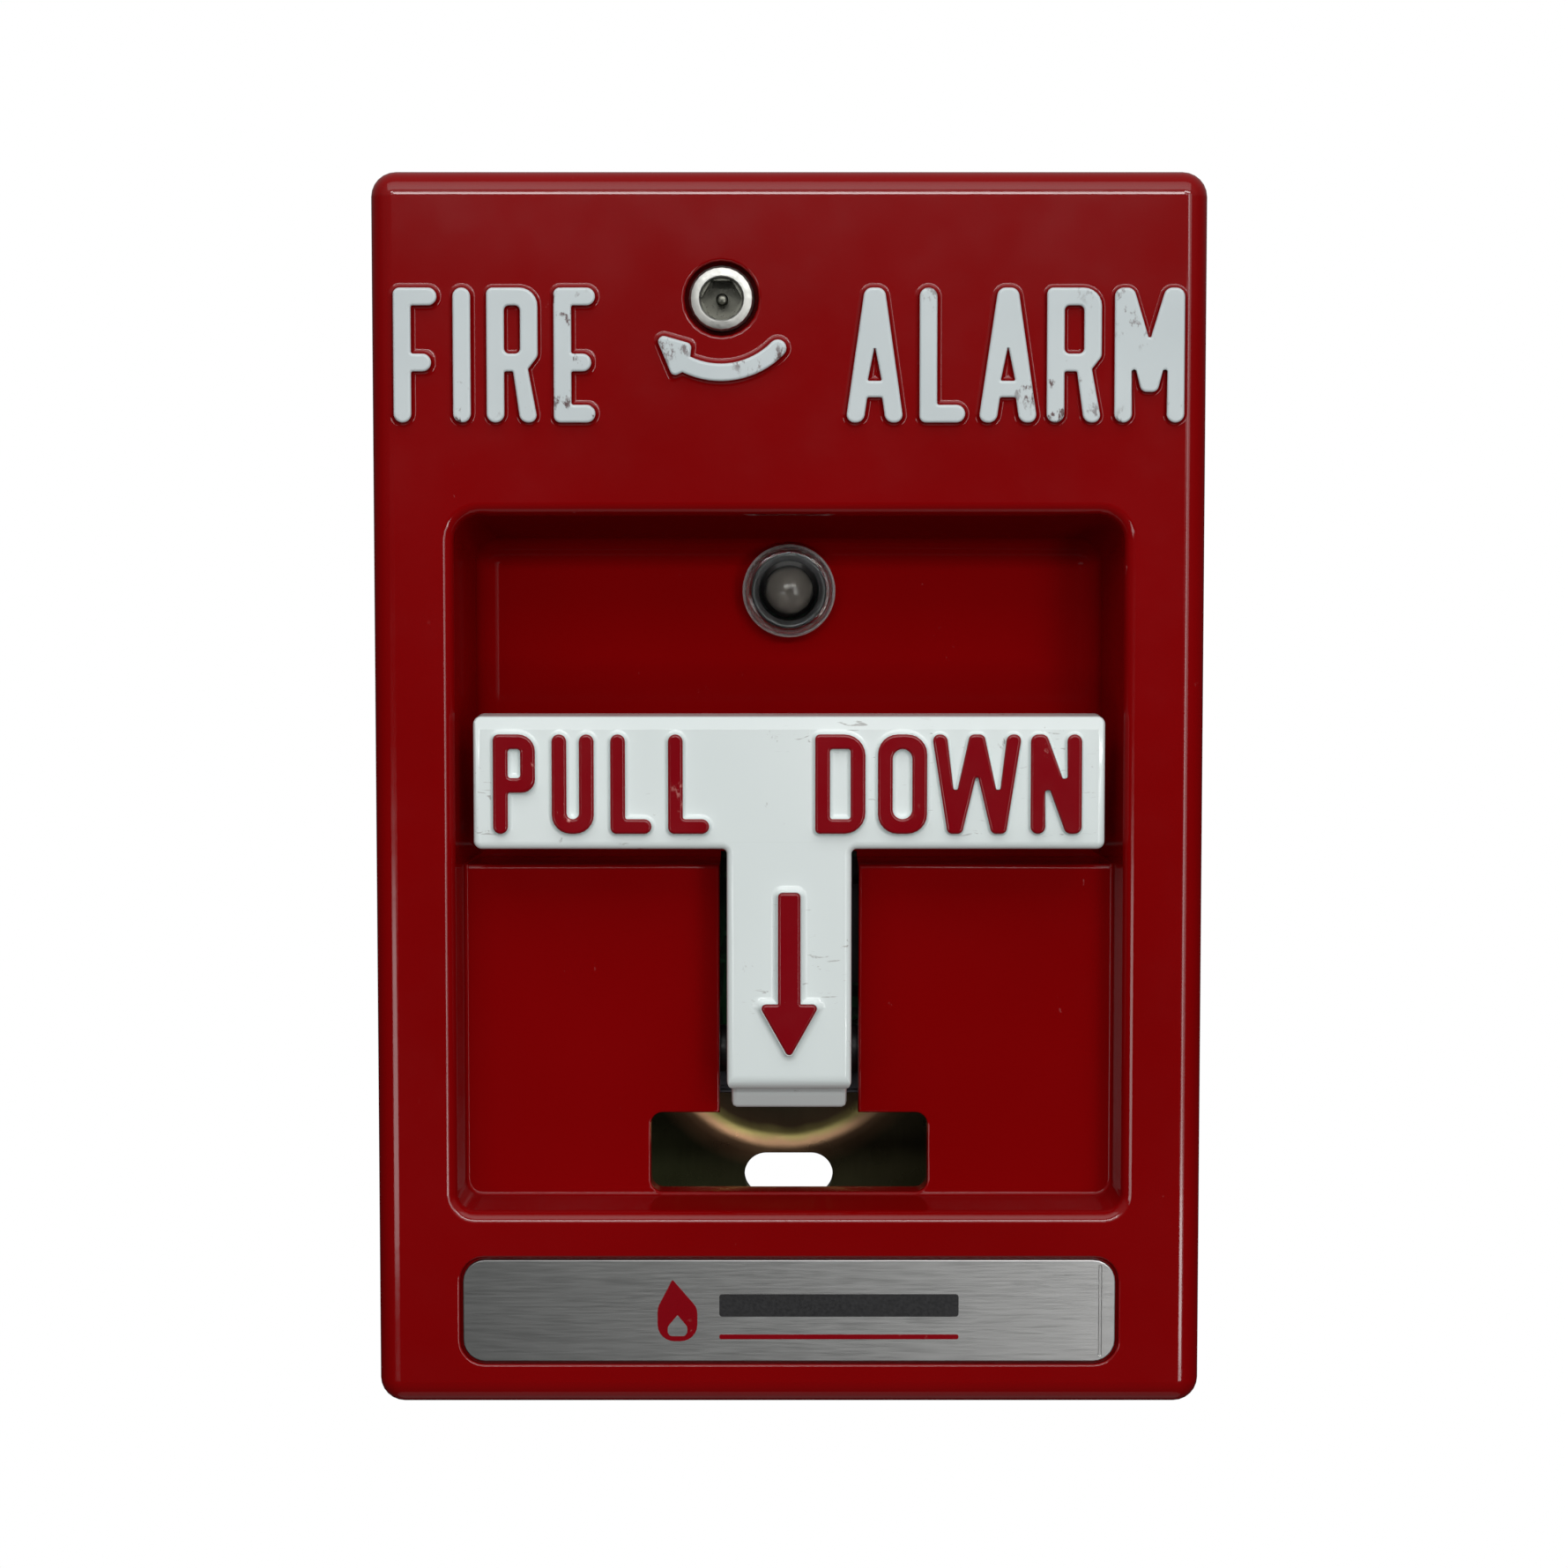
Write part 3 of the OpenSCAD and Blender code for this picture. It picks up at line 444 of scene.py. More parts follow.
def letter_u(w, h, s):
    e = s / 2
    return [[(0, 0, w * 0.45), (w, 0, w * 0.45), (w, h, e), (w - s, h, e), (w - s, s, w * 0.2),
             (s, s, w * 0.2), (s, h, e), (0, h, e)]]


def letter_w(w, h, s):
    e = s / 2
    foot = 0.5 * s
    low = 0.3 * h
    return [[(w / 4 - foot, 0, 0.5), (w / 4 + foot, 0, 0.5), (w / 2, 0.66 * h, 0.25),
             (0.75 * w - foot, 0, 0.5), (0.75 * w + foot, 0, 0.5), (w, h, e), (w - s, h, e),
             (0.75 * w, low, 0.25), (w / 2 + foot, h, 0.5), (w / 2 - foot, h, 0.5),
             (w / 4, low, 0.25), (s, h, e), (0, h, e)]]


LETTERS = {"A": letter_a, "D": letter_d, "E": letter_e, "F": letter_f, "I": letter_i, "L": letter_l,
           "M": letter_m, "N": letter_n, "O": letter_o, "P": letter_p, "R": letter_r, "U": letter_u,
           "W": letter_w}


def moved(outlines, u, v):
    return [[(c[0] + u, c[1] + v, c[2]) for c in outline] for outline in outlines]


def word(text, u, v, widths, gaps, h, s):
    """Outlines of each letter of a word."""
    shapes = []
    for letter, width, gap in zip(text, widths, gaps + [0]):
        shapes.append(moved(LETTERS[letter](width, h, s), u, v))
        u += width + gap
    return shapes


def turn_arrow():
    """Curved arrow under the lock: it shows the way that the key turns to open."""
    x, z, r, band = LOCK_X - 0.08, LOCK_Z + 0.6, 7.83, 1.52
    tail, neck = -44.3, -116

    def polar(radius, angle):
        return x + radius * math.cos(math.radians(angle)), z + radius * math.sin(math.radians(angle))

    end = arc_points(*polar(r, tail), band / 2, tail, tail + 180, 8)
    shape = arc_points(x, z, r + band / 2, neck, tail, 16) + end[1:-1]
    shape += arc_points(x, z, r - band / 2, tail, neck, 16)
    barb, point, corner_r = neck - 4, neck - 31, 0.45
    tips = ((5.9, barb), (7.6, point), (9.4, barb))
    head = [(*polar(radius, angle), corner_r) for radius, angle in tips]
    return [[(*place, 0) for place in shape] + head]


def down_arrow():
    """Straight arrow on the stem, which points down."""
    shaft, head = 1.02, 2.9
    top, neck, tip = -9.65, -20.8, -26
    return [[(0, tip, 0.3), (head, neck, 0.35), (shaft, neck, 0.2), (shaft, top, 0.35),
             (-shaft, top, 0.35), (-shaft, neck, 0.2), (-head, neck, 0.35)]]


def relief(outlines, face, foot, draft=0.18):
    """Raised lettering: a foot that flows out of the face, drafted sides and a painted flat top."""
    root, paint = 0, 1
    levels = [(draft + foot, face + 0.4), *[(draft + o, y) for o, y in round_foot(foot, face, -1)]]
    top = face - RELIEF
    edge = [(0.09, top + 0.19), (0.04, top + 0.09), (-0.04, top + 0.03), (-0.14, top), (-0.18, top)]
    slots = [root] * len(levels) + [paint] * (len(edge) - 1) + [root, paint]
    return solid(outlines, levels + edge, slots=slots)


# ---- Front cover ---------------------------------------------------------

def cover_body():
    outline = [rectangle(-COVER_W / 2, COVER_W / 2, -COVER_H / 2, COVER_H / 2, CORNER_R)]
    draft = 0.03
    levels = [(offset - draft, y) for offset, y in round_edge(EDGE_R, FRONT, 1, 8)]
    levels += [(0, RIM - 0.5), (-0.12, RIM - 0.12), (-0.5, RIM)]
    return solid(outline, levels)


def cover_cavity():
    """Inside of the cover: the room behind the walls, less what stands in it."""
    half_w = COVER_W / 2 - WALL
    half_h = COVER_H / 2 - WALL
    outline = [rectangle(-half_w, half_w, -half_h, half_h, 1.2)]
    cavity = Casting(solid(outline, [(-0.9, INNER), (-0.3, INNER + 0.25), (-0.1, INNER + 0.9), (0, 1)]),
                     "cavity")
    tub = [rectangle(-RECESS_HALF - 2, RECESS_HALF + 2, PANEL_TOP - 2, RECESS_TOP + 2, 2)]
    shelf = [rectangle(-RECESS_HALF - 2, RECESS_HALF + 2, RECESS_BOTTOM - 2, PANEL_TOP + 3, 2)]
    wide = INNER - 0.5
    cavity.cut(solid(tub, [(0.3, wide), (-0.4, WELL_BACK - 0.8), (-0.65, WELL_BACK - 0.25),
                           (-1.2, WELL_BACK)]))
    cavity.cut(solid(shelf, [(0.3, wide), (0, PANEL_BACK - 0.6), (-0.2, PANEL_BACK - 0.2),
                             (-0.6, PANEL_BACK)]))
    cavity.cut(solid([disc(LOCK_X, LOCK_Z, 6)], [(1, wide), (0.3, INNER + 0.3), (0.1, INNER + 1),
                                                 (0, -20.3), (-0.3, -20)]))
    for side in (-1, 1):
        lug = sorted((side * LUG_X[0], side * LUG_X[1]))
        cavity.cut(block(lug, (PANEL_BACK - 0.5, PIVOT_Y + 3.5), (-32.3, PIVOT_Z + 3.8), 0.3))
        for x in ((EAR_X - 5, EAR_X - 0.6), (EAR_X + EAR_T + 0.6, half_w + 0.5)):
            low, high = sorted((side * x[0], side * x[1]))
            cavity.cut(bar_x(HINGE_Y, HINGE_Z, HINGE_BOSS_R, low, high))
            web = [(HINGE_Y - HINGE_BOSS_R, -COVER_H / 2, 0), (HINGE_Y, -COVER_H / 2, 0),
                   (HINGE_Y, HINGE_Z, 0), (HINGE_Y - HINGE_BOSS_R, HINGE_Z, 0)]
            cavity.cut(solid([web], [(0, low), (0, high)], facing_side))
    return cavity.solid()


def recess_tool(outline, floor, foot, steps):
    """Room behind the face, down to floor: a rounded mouth, drafted walls and a rounded foot.
    outline gives the shape at a depth behind the face."""
    levels = [(outline(0), MOUTH_R, FRONT - 1)]
    levels += [(outline(0), offset, y) for offset, y in round_foot(MOUTH_R, FRONT, 1, 6)]
    wall_end = floor - foot
    levels.append((outline(wall_end - FRONT), 0, wall_end))
    for step in range(1, steps + 1):
        a = math.pi / 2 * step / steps
        y = wall_end + foot * math.sin(a)
        levels.append((outline(y - FRONT), -foot * (1 - math.cos(a)), y))
    return solid(None, levels)


def well_tool():
    """Deep finger well, down to the panel's upper edge."""
    low, low_r = PANEL_TOP, 0.3

    def outline(depth):
        share = depth / WELL_DEPTH
        half = RECESS_HALF - WELL_DRAFT_SIDE * share
        top = RECESS_TOP - WELL_DRAFT_TOP * share
        return [[(-half, low, low_r), (half, low, low_r), (half, top, RECESS_R), (-half, top, RECESS_R)]]

    return recess_tool(outline, WELL_Y, 2.4, 6)


def panel_tool():
    """Shallow lower half of the recess, in front of the panel."""
    top = PANEL_TOP + 0.9
    corner_r = 1.7
    overlap = 0.02

    def outline(depth):
        half = RECESS_HALF - WELL_DRAFT_SIDE * depth / WELL_DEPTH + overlap
        low = RECESS_BOTTOM + PANEL_DRAFT_LOW * depth / PANEL_DEPTH
        return [[(-half, low, corner_r), (half, low, corner_r), (half, top, 0.1), (-half, top, 0.1)]]

    return recess_tool(outline, PANEL_Y, 0.3, 5)


def edge_cutter(y, z, r, x_half, up=1):
    """Rounds the long edge at y, z, whose faces look to -Y and, as up says, to +Z or -Z."""
    arc = arc_points(y + r, z - up * r, r, 180, 180 - 90 * up, 6)
    clear = 0.5
    shape = [(p[0], p[1], 0) for p in arc]
    shape += [(y + r, z + up * clear, 0), (y - clear, z + up * clear, 0), (y - clear, z - up * r, 0)]
    return solid([shape[::-up]], [(0, -x_half), (0, x_half)], facing_side)


def cover_openings():
    """Slot and window of the panel, the holes of the lock and the lamp, and the strip's pocket."""
    slot = rectangle(-SLOT_HALF, SLOT_HALF, WINDOW_Z[1] - 1, PANEL_TOP + 0.6, 0.1)
    yield solid([slot], [(0.35, PANEL_Y - 0.5), (0.35, PANEL_Y), (0.1, PANEL_Y + 0.1),
                         (0, PANEL_Y + 0.35), (0, PANEL_BACK + 1)])
    yield block((-SLOT_HALF, SLOT_HALF), (PANEL_Y + 0.5, WELL_BACK + 1), (PANEL_TOP - 3, PANEL_TOP + 0.5))
    window = rectangle(-WINDOW_HALF, WINDOW_HALF, *WINDOW_Z, 1.2)
    yield solid([window], [(0.3, PANEL_Y - 0.5), (0.3, PANEL_Y), (0.08, PANEL_Y + 0.1),
                           (0, PANEL_Y + 0.3), (0, PANEL_BACK + 1)])
    dish_gap, bore_gap = 0.45, 0.06
    lock_hole = [disc(LOCK_X, LOCK_Z, LOCK_R + dish_gap)]
    yield solid(lock_hole, [(0.35, FRONT - 1), *round_foot(0.35, FRONT, 1, 4), (0, FRONT + 3)])
    yield rod(LOCK_X, LOCK_Z, LOCK_R + bore_gap, FRONT, -19)
    cap_r, ring_r = 5.05, 3.91
    yield rod(0, LENS_Z, cap_r, WELL_Y - 5, WELL_Y)
    yield rod(0, LENS_Z, ring_r, WELL_Y - 1, WELL_BACK + 1)
    half_w, half_h = 33, 5.45
    pocket = [rectangle(-half_w, half_w, STRIP_Z - half_h, STRIP_Z + half_h, 2.4)]
    yield solid(pocket, [(0.25, FRONT - 1), *round_foot(0.25, FRONT, 1, 4), (0, FRONT + 0.9)])


def hinge_cuts():
    """Clipped lower rear edge, notches for the ears of the wall plate, and the bores of the hinge
    pins, of the detent's screws and of the handle's pin."""
    low = -COVER_H / 2 - 1
    pin_x, pin_half = 33, 7.8
    screw_z = -30.6
    rear = [(HINGE_Y, low, 0), (2, low, 0), (2, HINGE_Z - 0.2, 0), (RIM, HINGE_Z - 0.2, 0),
            (HINGE_Y, low + 1, 0)]
    yield solid([rear], [(0, -COVER_W), (0, COVER_W)], facing_side)
    inner = COVER_W / 2 - WALL
    yield block((-inner, inner), (HINGE_Y, 2), (low, HINGE_Z))
    for side in (-1, 1):
        middle = side * (EAR_X + EAR_T / 2)
        half = EAR_T / 2 + 0.5
        yield block((middle - half, middle + half), (HINGE_Y - HINGE_BOSS_R, 2), (low, HINGE_Z + 3.4))
        yield bar_x(HINGE_Y, HINGE_Z, HINGE_BORE_R, side * pin_x - pin_half, side * pin_x + pin_half)
        yield rod(side * sum(LUG_X) / 2, screw_z, 1.05, PIVOT_Y, PIVOT_Y + 5)
    yield bar_x(PIVOT_Y, PIVOT_Z, PIVOT_BORE_R, -LUG_X[1] - 1, LUG_X[1] + 1)


def cover_lettering():
    """FIRE and ALARM on both sides of the lock: h is their height, s their stroke, z their foot."""
    h, s, z = 13.0, 1.55, 36.95
    shapes = word("FIRE", -38.8, z, [4.1, 1.55, 4.85, 3.9], [1.75, 1.75, 1.75], h, s)
    shapes += word("ALARM", 5.65, z, [5.5, 4.3, 5.6, 5.2, 6.7], [1.75, 1.5, 1.1, 1.45], h, s)
    feet = [0.3 if letter in "RM" else 0.4 for letter in "FIREALARM"]
    return joined([relief(shape, FRONT, foot) for shape, foot in zip(shapes, feet)])


def build_cover(red, white):
    cover = Casting(cover_body(), "cover_casting")
    cover.cut(cover_cavity())
    cover.cut(well_tool(), panel_tool(), edge_cutter(PANEL_Y, PANEL_TOP, PANEL_LIP_R, PANEL_LIP_HALF))
    cover.cut(*cover_openings())
    cover.cut(*hinge_cuts())
    cover.add(cover_lettering(), relief(turn_arrow(), FRONT, 0.45))
    finish_piece(cover.piece, BODY_OF["front_cover"], [red, white], ["front_cover"])


# ---- Pull handle ---------------------------------------------------------

def handle_front():
    """The T itself, with the lower end of its stem rolled back."""
    side_r = 0.8
    tee = [[(-STEM_HALF, STEM_END, 0.9), (STEM_HALF, STEM_END, 0.9), (STEM_HALF, BAR_LOW, 0.5),
            (BAR_HALF, BAR_LOW, side_r), (BAR_HALF, BAR_TOP, side_r), (-BAR_HALF, BAR_TOP, side_r),
            (-BAR_HALF, BAR_LOW, side_r), (-STEM_HALF, BAR_LOW, 0.5)]]
    back = HANDLE_Y + BAR_T
    levels = [*round_edge(0.75, HANDLE_Y, 1, 6), (0, back - 0.5), (-0.15, back - 0.15), (-0.5, back)]
    handle = Casting(solid(tee, levels), "tee_handle")
    handle.cut(edge_cutter(HANDLE_Y, STEM_END, 1.7, STEM_HALF + 1, -1))
    return handle


def bar_on_x(outline, half, *bevels):
    """Bar along X from -half to half. Each bevel is (inset, distance from the end)."""
    ends = [(-inset, half - out) for inset, out in bevels]
    return solid([outline], [(o, -x) for o, x in ends] + [(o, x) for o, x in reversed(ends)], facing_side)


def handle_back():
    """Spine behind the stem, hub on the pivot pin, and the tail that works the switch."""
    deep = HANDLE_Y + 8
    spine = [(HANDLE_Y + 2, -6, 0.2), (HANDLE_Y + 2, -29, 0.3), (-27.6, -29, 0.2), (-25.6, -31.75, 0.9),
             (-21.5, -31.9, 0.6), (PIVOT_Y, PIVOT_Z - 3, 0.5), (PIVOT_Y, PIVOT_Z + 3, 0.5),
             (deep, PIVOT_Z + 6, 0.8), (deep, -9.9, 1.5), (HANDLE_Y + 4, -4.3, 1.0)]
    yield bar_on_x(spine, STEM_HALF - 0.42, (0.6, 0), (0.18, 0.15), (0, 0.5))
    yield bar_x(PIVOT_Y, PIVOT_Z, 3.2, -STEM_HALF + 0.1, STEM_HALF - 0.1)
    tail_end = PIVOT_Y + 6.6
    tail = [(PIVOT_Y, PIVOT_Z - 2.9, 0), (tail_end, PIVOT_Z - 4.6, 0), (tail_end, PIVOT_Z - 3.3, 0),
            (PIVOT_Y + 1, PIVOT_Z - 1.5, 0)]
    yield bar_on_x(tail, 2.5, (0.15, 0), (0, 0.15))
    yield bar_on_x(disc(tail_end, PIVOT_Z - 3.6, 1.2), 2.5, (0.3, 0), (0, 0.3))


def bar_bevel():
    """Long bevel along the top edge of the bar."""
    bevel = [(HANDLE_Y - 0.5, BAR_TOP - 1.9, 0), (HANDLE_Y + 0.02, BAR_TOP - 1.25, 0),
             (HANDLE_Y + 0.5, BAR_TOP + 0.4, 0), (HANDLE_Y - 0.5, BAR_TOP + 0.4, 0)]
    return solid([bevel], [(0, -BAR_HALF - 1), (0, BAR_HALF + 1)], facing_side)


def handle_lettering():
    """PULL and DOWN on the bar: h is their height, s their stroke, z their foot."""
    h, s, z = 9.7, 1.3, -3.6
    shapes = word("PULL", -29.2, z, [4, 4, 3.9, 3.9], [1.8, 1.8, 1.8], h, s)
    shapes += word("DOWN", 2.65, z, [4.8, 4.7, 8.7, 4.9], [1.4, 0.65, 1.05], h, s)
    feet = [0.25 if letter in "WN" else 0.4 for letter in "PULLDOWN"]
    return joined([relief(shape, HANDLE_Y, foot, HANDLE_DRAFT) for shape, foot in zip(shapes, feet)])


def build_handle(white, red):
    handle = handle_front()
    handle.add(*handle_back())
    handle.cut(bar_x(PIVOT_Y, PIVOT_Z, 1.56, -10, 10), bar_bevel())
    handle.add(handle_lettering(), relief(down_arrow(), HANDLE_Y, 0.7, HANDLE_DRAFT))
    finish_piece(handle.piece, BODY_OF["pull_handle"], [white, red], ["pull_handle"])


# ---- Small pieces --------------------------------------------------------

def turned(x, z, profile, steps=64):
    """Closed solid: a closed outline of (radius, y) points turned about an axis along Y."""
    bm = bmesh.new()
    rings = []
    for k in range(steps):
        a = 2 * math.pi * k / steps
        rings.append([bm.verts.new((x + r * math.cos(a), y, z + r * math.sin(a))) for r, y in profile])
    for k in range(steps):
        a, b = rings[k], rings[(k + 1) % steps]
        for i in range(len(profile)):
            j = (i + 1) % len(profile)
            if profile[i][0] > 0 or profile[j][0] > 0:
                bm.faces.new((a[i], a[j], b[j], b[i]))
    bmesh.ops.remove_doubles(bm, verts=bm.verts, dist=1e-5)
    bmesh.ops.dissolve_degenerate(bm, edges=bm.edges, dist=1e-5)
    bmesh.ops.recalc_face_normals(bm, faces=bm.faces)
    return bm


def piece_of(bm, name):
    """Object of a finished solid that needs no further step."""
    return Casting(bm, name).piece


def build_lock(nickel, shade):
    """Turning plug with a round mouth, a hexagonal key socket and a guard pin in its middle. Mouth, socket
    and pin are painted shade: they take shade, a darker copy of the nickel.
    """
    front = LOCK_LOW[1]
    neck, shoulder = -19.7, -18.9
    socket_r = 2.05
    barrel = Casting(solid([disc(LOCK_X, LOCK_Z, LOCK_R)],
                           [(-0.6, front), (-0.2, front + 0.12), (0, front + 0.45), (0, neck)]), "lock_plug")
    barrel.add(rod(LOCK_X, LOCK_Z, 2.4, neck - 0.3, shoulder + 0.4))
    barrel.add(rod(LOCK_X, LOCK_Z, LOCK_R, shoulder, -13.53, 0.2))
    barrel.add(rod(LOCK_X, LOCK_Z, 2.0, -14, -12.0))
    mouth = [(0.3, front - 0.2), (0.12, front), (0, front + 0.12), (-0.1, front + 0.9)]
    barrel.cut(solid([disc(LOCK_X, LOCK_Z, 2.12)], mouth, slots=[0, 0, 1, 1, 1]))
    corners = [math.radians(a) for a in range(0, 360, 60)]
    hexagon = [(LOCK_X + socket_r * math.cos(a), LOCK_Z + socket_r * math.sin(a), 0.12) for a in corners]
    barrel.cut(solid([hexagon], [(0, front + 0.6), (0, front + 5.5)], slots=[1, 1, 1]))
    pin = [(-0.3, front + 3), (-0.1, front + 3.1), (0, front + 3.3), (0, front + 6)]
    barrel.add(solid([disc(LOCK_X, LOCK_Z, 0.6)], pin, slots=[1] * 5))
    barrel.cut(rod(LOCK_X, LOCK_Z, 0.95, SCREW_TIP, -11))
    finish_piece(barrel.piece, BODY_OF["lock_barrel"], [nickel, shade], ["lock_barrel"], 35)


def quarter(r, y, rise, first, last, step):
    """Rounded shoulder of a turned outline, between two angles in degrees. It ends at radius r."""
    angles = [math.radians(d) for d in range(first, last + (1 if step > 0 else -1), step)]
    return [(r - rise * (1 - math.sin(a)), y + rise * (1 - math.cos(a))) for a in angles]


def build_lamp(clear, black, epoxy):
    """Clear cap, black ring and lamp of the status light."""
    foot = WELL_Y - 0.03
    top = LENS_LOW[1]
    outer, inner = 4.75, 4.3
    cap_profile = [(inner, foot), (outer, foot), *quarter(outer, top + 0.15, 0.9, 90, 0, -15),
                   (2.2, top + 0.03), (0, top), (0, top + 0.5), (2.2, top + 0.52),
                   *quarter(inner, top + 0.6, 0.5, 0, 90, 30)]
    finish_piece(piece_of(turned(0, LENS_Z, cap_profile), "lamp_cap"), BODY_OF["status_lens"],
                 [clear], ["status_lens"], 50)
    flange = WELL_BACK + 0.6
    step = WELL_BACK + 0.03
    crest = WELL_Y - 1.65
    ring_profile = [(3.05, flange), (3.05, crest + 0.35), (3.1, crest + 0.25), (3.5, crest + 0.03),
                    (3.58, crest), (3.64, crest), (3.8, crest + 0.07), (3.85, crest + 0.15),
                    (3.85, step), (5, step), (5, flange)]
    finish_piece(piece_of(turned(0, LENS_Z, ring_profile), "lamp_ring"), BODY_OF["lens_bezel"],
                 [black], ["lens_bezel"], 35)
    low, high = box_mm("status_led")
    tip, base = low[1], high[1]
    body_r, collar_r = 2.5, 2.9
    dome = [(body_r * math.sin(a), tip + body_r * 0.8 * (1 - math.cos(a)))
            for a in [math.radians(d) for d in range(0, 91, 15)]]
    led_profile = [*dome, (body_r, base - 4), (collar_r, base - 3.5), (collar_r, base - 2.5), (0, base - 2.5)]
    finish_piece(piece_of(turned(0, LENS_Z, led_profile), "lamp"), BODY_OF["status_led"],
                 [epoxy], ["status_led"], 40)


def build_strip(aluminium, red, black):
    """Bare aluminium strip, printed with a plain drop of flame and plain bars."""
    half_w, half_h = 32.7, 5.15
    top = PLATE_LOW[1]
    outline = [rectangle(-half_w, half_w, STRIP_Z - half_h, STRIP_Z + half_h, 2.2)]
    strip = Casting(solid(outline, [(-0.1, top), (-0.03, top + 0.03), (0, top + 0.1), (0, PLATE_HIGH[1])]),
                    "name_strip")
    scribed = rectangle(31.1, 31.3, STRIP_Z - 4.6, STRIP_Z + 4.6, 0.1)
    strip.cut(solid([scribed], [(0.1, top - 0.3), (0.08, top), (0, top + 0.08)]))
    foot = STRIP_Z - 3.1
    drop = [(-13.2, foot, 2.0), (-9.2, foot, 2.0), (-9.2, foot + 3.4, 1.6), (-11.7, foot + 6.3, 0.1),
            (-13.2, foot + 3.4, 1.6)]
    heart = [(-11.2, foot + 2.7, 0.1), (-12.2, foot + 1.5, 0.6), (-12.2, foot + 0.5, 0.9),
             (-10.2, foot + 0.5, 0.9), (-10.2, foot + 1.5, 0.6)]
    bar_left, bar_right = -7, 17
    thick = rectangle(bar_left, bar_right, STRIP_Z - 0.6, STRIP_Z + 1.7, 0.3)
    thin = rectangle(bar_left, bar_right, STRIP_Z - 2.9, STRIP_Z - 2.4, 0.2)
    ink = [(0, top + 0.1), (0, top - 0.012), (-0.02, top - 0.02)]
    for shapes, colour in (([drop, heart], 1), ([thick], 2), ([thin], 1)):
        strip.add(solid(shapes, ink, slots=[colour] * 4))
    finish_piece(strip.piece, BODY_OF["name_plate"], [aluminium, red, black],
                 ["name_plate"], 15)


# ---- Materials -----------------------------------------------------------

class Look:
    """One procedural material, built round a Principled shader."""

    def __init__(self, name, rough, metal=0.0, **inputs):
        self.material = bpy.data.materials.new(name)
        self.material.use_nodes = True
        self.tree = self.material.node_tree
        self.shader = self.tree.nodes["Principled BSDF"]
        self.set("Roughness", rough)
        self.set("Metallic", metal)
        for key, value in inputs.items():
            self.set(key.replace("_", " "), value)
        self.place = self.tree.nodes.new("ShaderNodeTexCoord").outputs["Object"]

    def link(self, source, target):
        self.tree.links.new(source, target)

    def set(self, key, value):
        target = self.shader.inputs[key]
        if isinstance(value, bpy.types.NodeSocket):
            self.link(value, target)
        else:
            target.default_value = value

    def noise(self, size_mm, detail=3.0, stretch=(1, 1, 1), rough=0.55, warp=0.0):
        """Noise whose features are about size_mm wide, stretched along the axes."""
        mapping = self.tree.nodes.new("ShaderNodeMapping")
        mapping.inputs["Scale"].default_value = [1 / (size_mm * MM * s) for s in stretch]
        self.link(self.place, mapping.inputs["Vector"])
        node = self.tree.nodes.new("ShaderNodeTexNoise")
        node.inputs["Scale"].default_value = 1.0
        node.inputs["Detail"].default_value = detail
        node.inputs["Roughness"].default_value = rough
        node.inputs["Distortion"].default_value = warp
        self.link(mapping.outputs["Vector"], node.inputs["Vector"])
        return node.outputs["Fac"]

    def axis(self, letter):
        node = self.tree.nodes.new("ShaderNodeSeparateXYZ")
        self.link(self.place, node.inputs[0])
        return node.outputs[letter]

    def distance(self, place, point_mm):
        """Distance in metres between a place and a point given in millimetres."""
        node = self.tree.nodes.new("ShaderNodeVectorMath")
        node.operation = "DISTANCE"
        self.link(place, node.inputs[0])
        node.inputs[1].default_value = [c * MM for c in point_mm]
        return node.outputs["Value"]

    def ranged(self, value, low, high, to_low=0.0, to_high=1.0, how="LINEAR"):
        node = self.tree.nodes.new("ShaderNodeMapRange")
        node.interpolation_type = how
        self.link(value, node.inputs["Value"])
        for key, number in zip(("From Min", "From Max", "To Min", "To Max"), (low, high, to_low, to_high)):
            node.inputs[key].default_value = number
        return node.outputs["Result"]

    def combine(self, how, a, b):
        node = self.tree.nodes.new("ShaderNodeMath")
        node.operation = how
        node.use_clamp = how != "SUBTRACT"
        for socket, value in zip(node.inputs, (a, b)):
            if isinstance(value, bpy.types.NodeSocket):
                self.link(value, socket)
            else:
                socket.default_value = value
        return node.outputs["Value"]

    def ramp(self, value, *stops):
        node = self.tree.nodes.new("ShaderNodeValToRGB")
        ramp = node.color_ramp
        while len(ramp.elements) < len(stops):
            ramp.elements.new(0.5)
        for element, (position, colour) in zip(ramp.elements, stops):
            element.position = position
            element.color = (*colour, 1)
        self.link(value, node.inputs["Fac"])
        return node.outputs["Color"]

    def mix(self, amount, a, b):
        node = self.tree.nodes.new("ShaderNodeMix")
        node.data_type = "RGBA"
        for key, value in ((0, amount), (6, a), (7, b)):
            if isinstance(value, bpy.types.NodeSocket):
                self.link(value, node.inputs[key])
            elif key == 0:
                node.inputs[key].default_value = value
            else:
                node.inputs[key].default_value = (*value, 1)
        return node.outputs[2]

    def bump(self, height, depth_mm, strength=1.0):
        node = self.tree.nodes.new("ShaderNodeBump")
        node.inputs["Strength"].default_value = strength
        node.inputs["Distance"].default_value = depth_mm * MM
        self.link(height, node.inputs["Height"])
        self.link(node.outputs["Normal"], self.shader.inputs["Normal"])


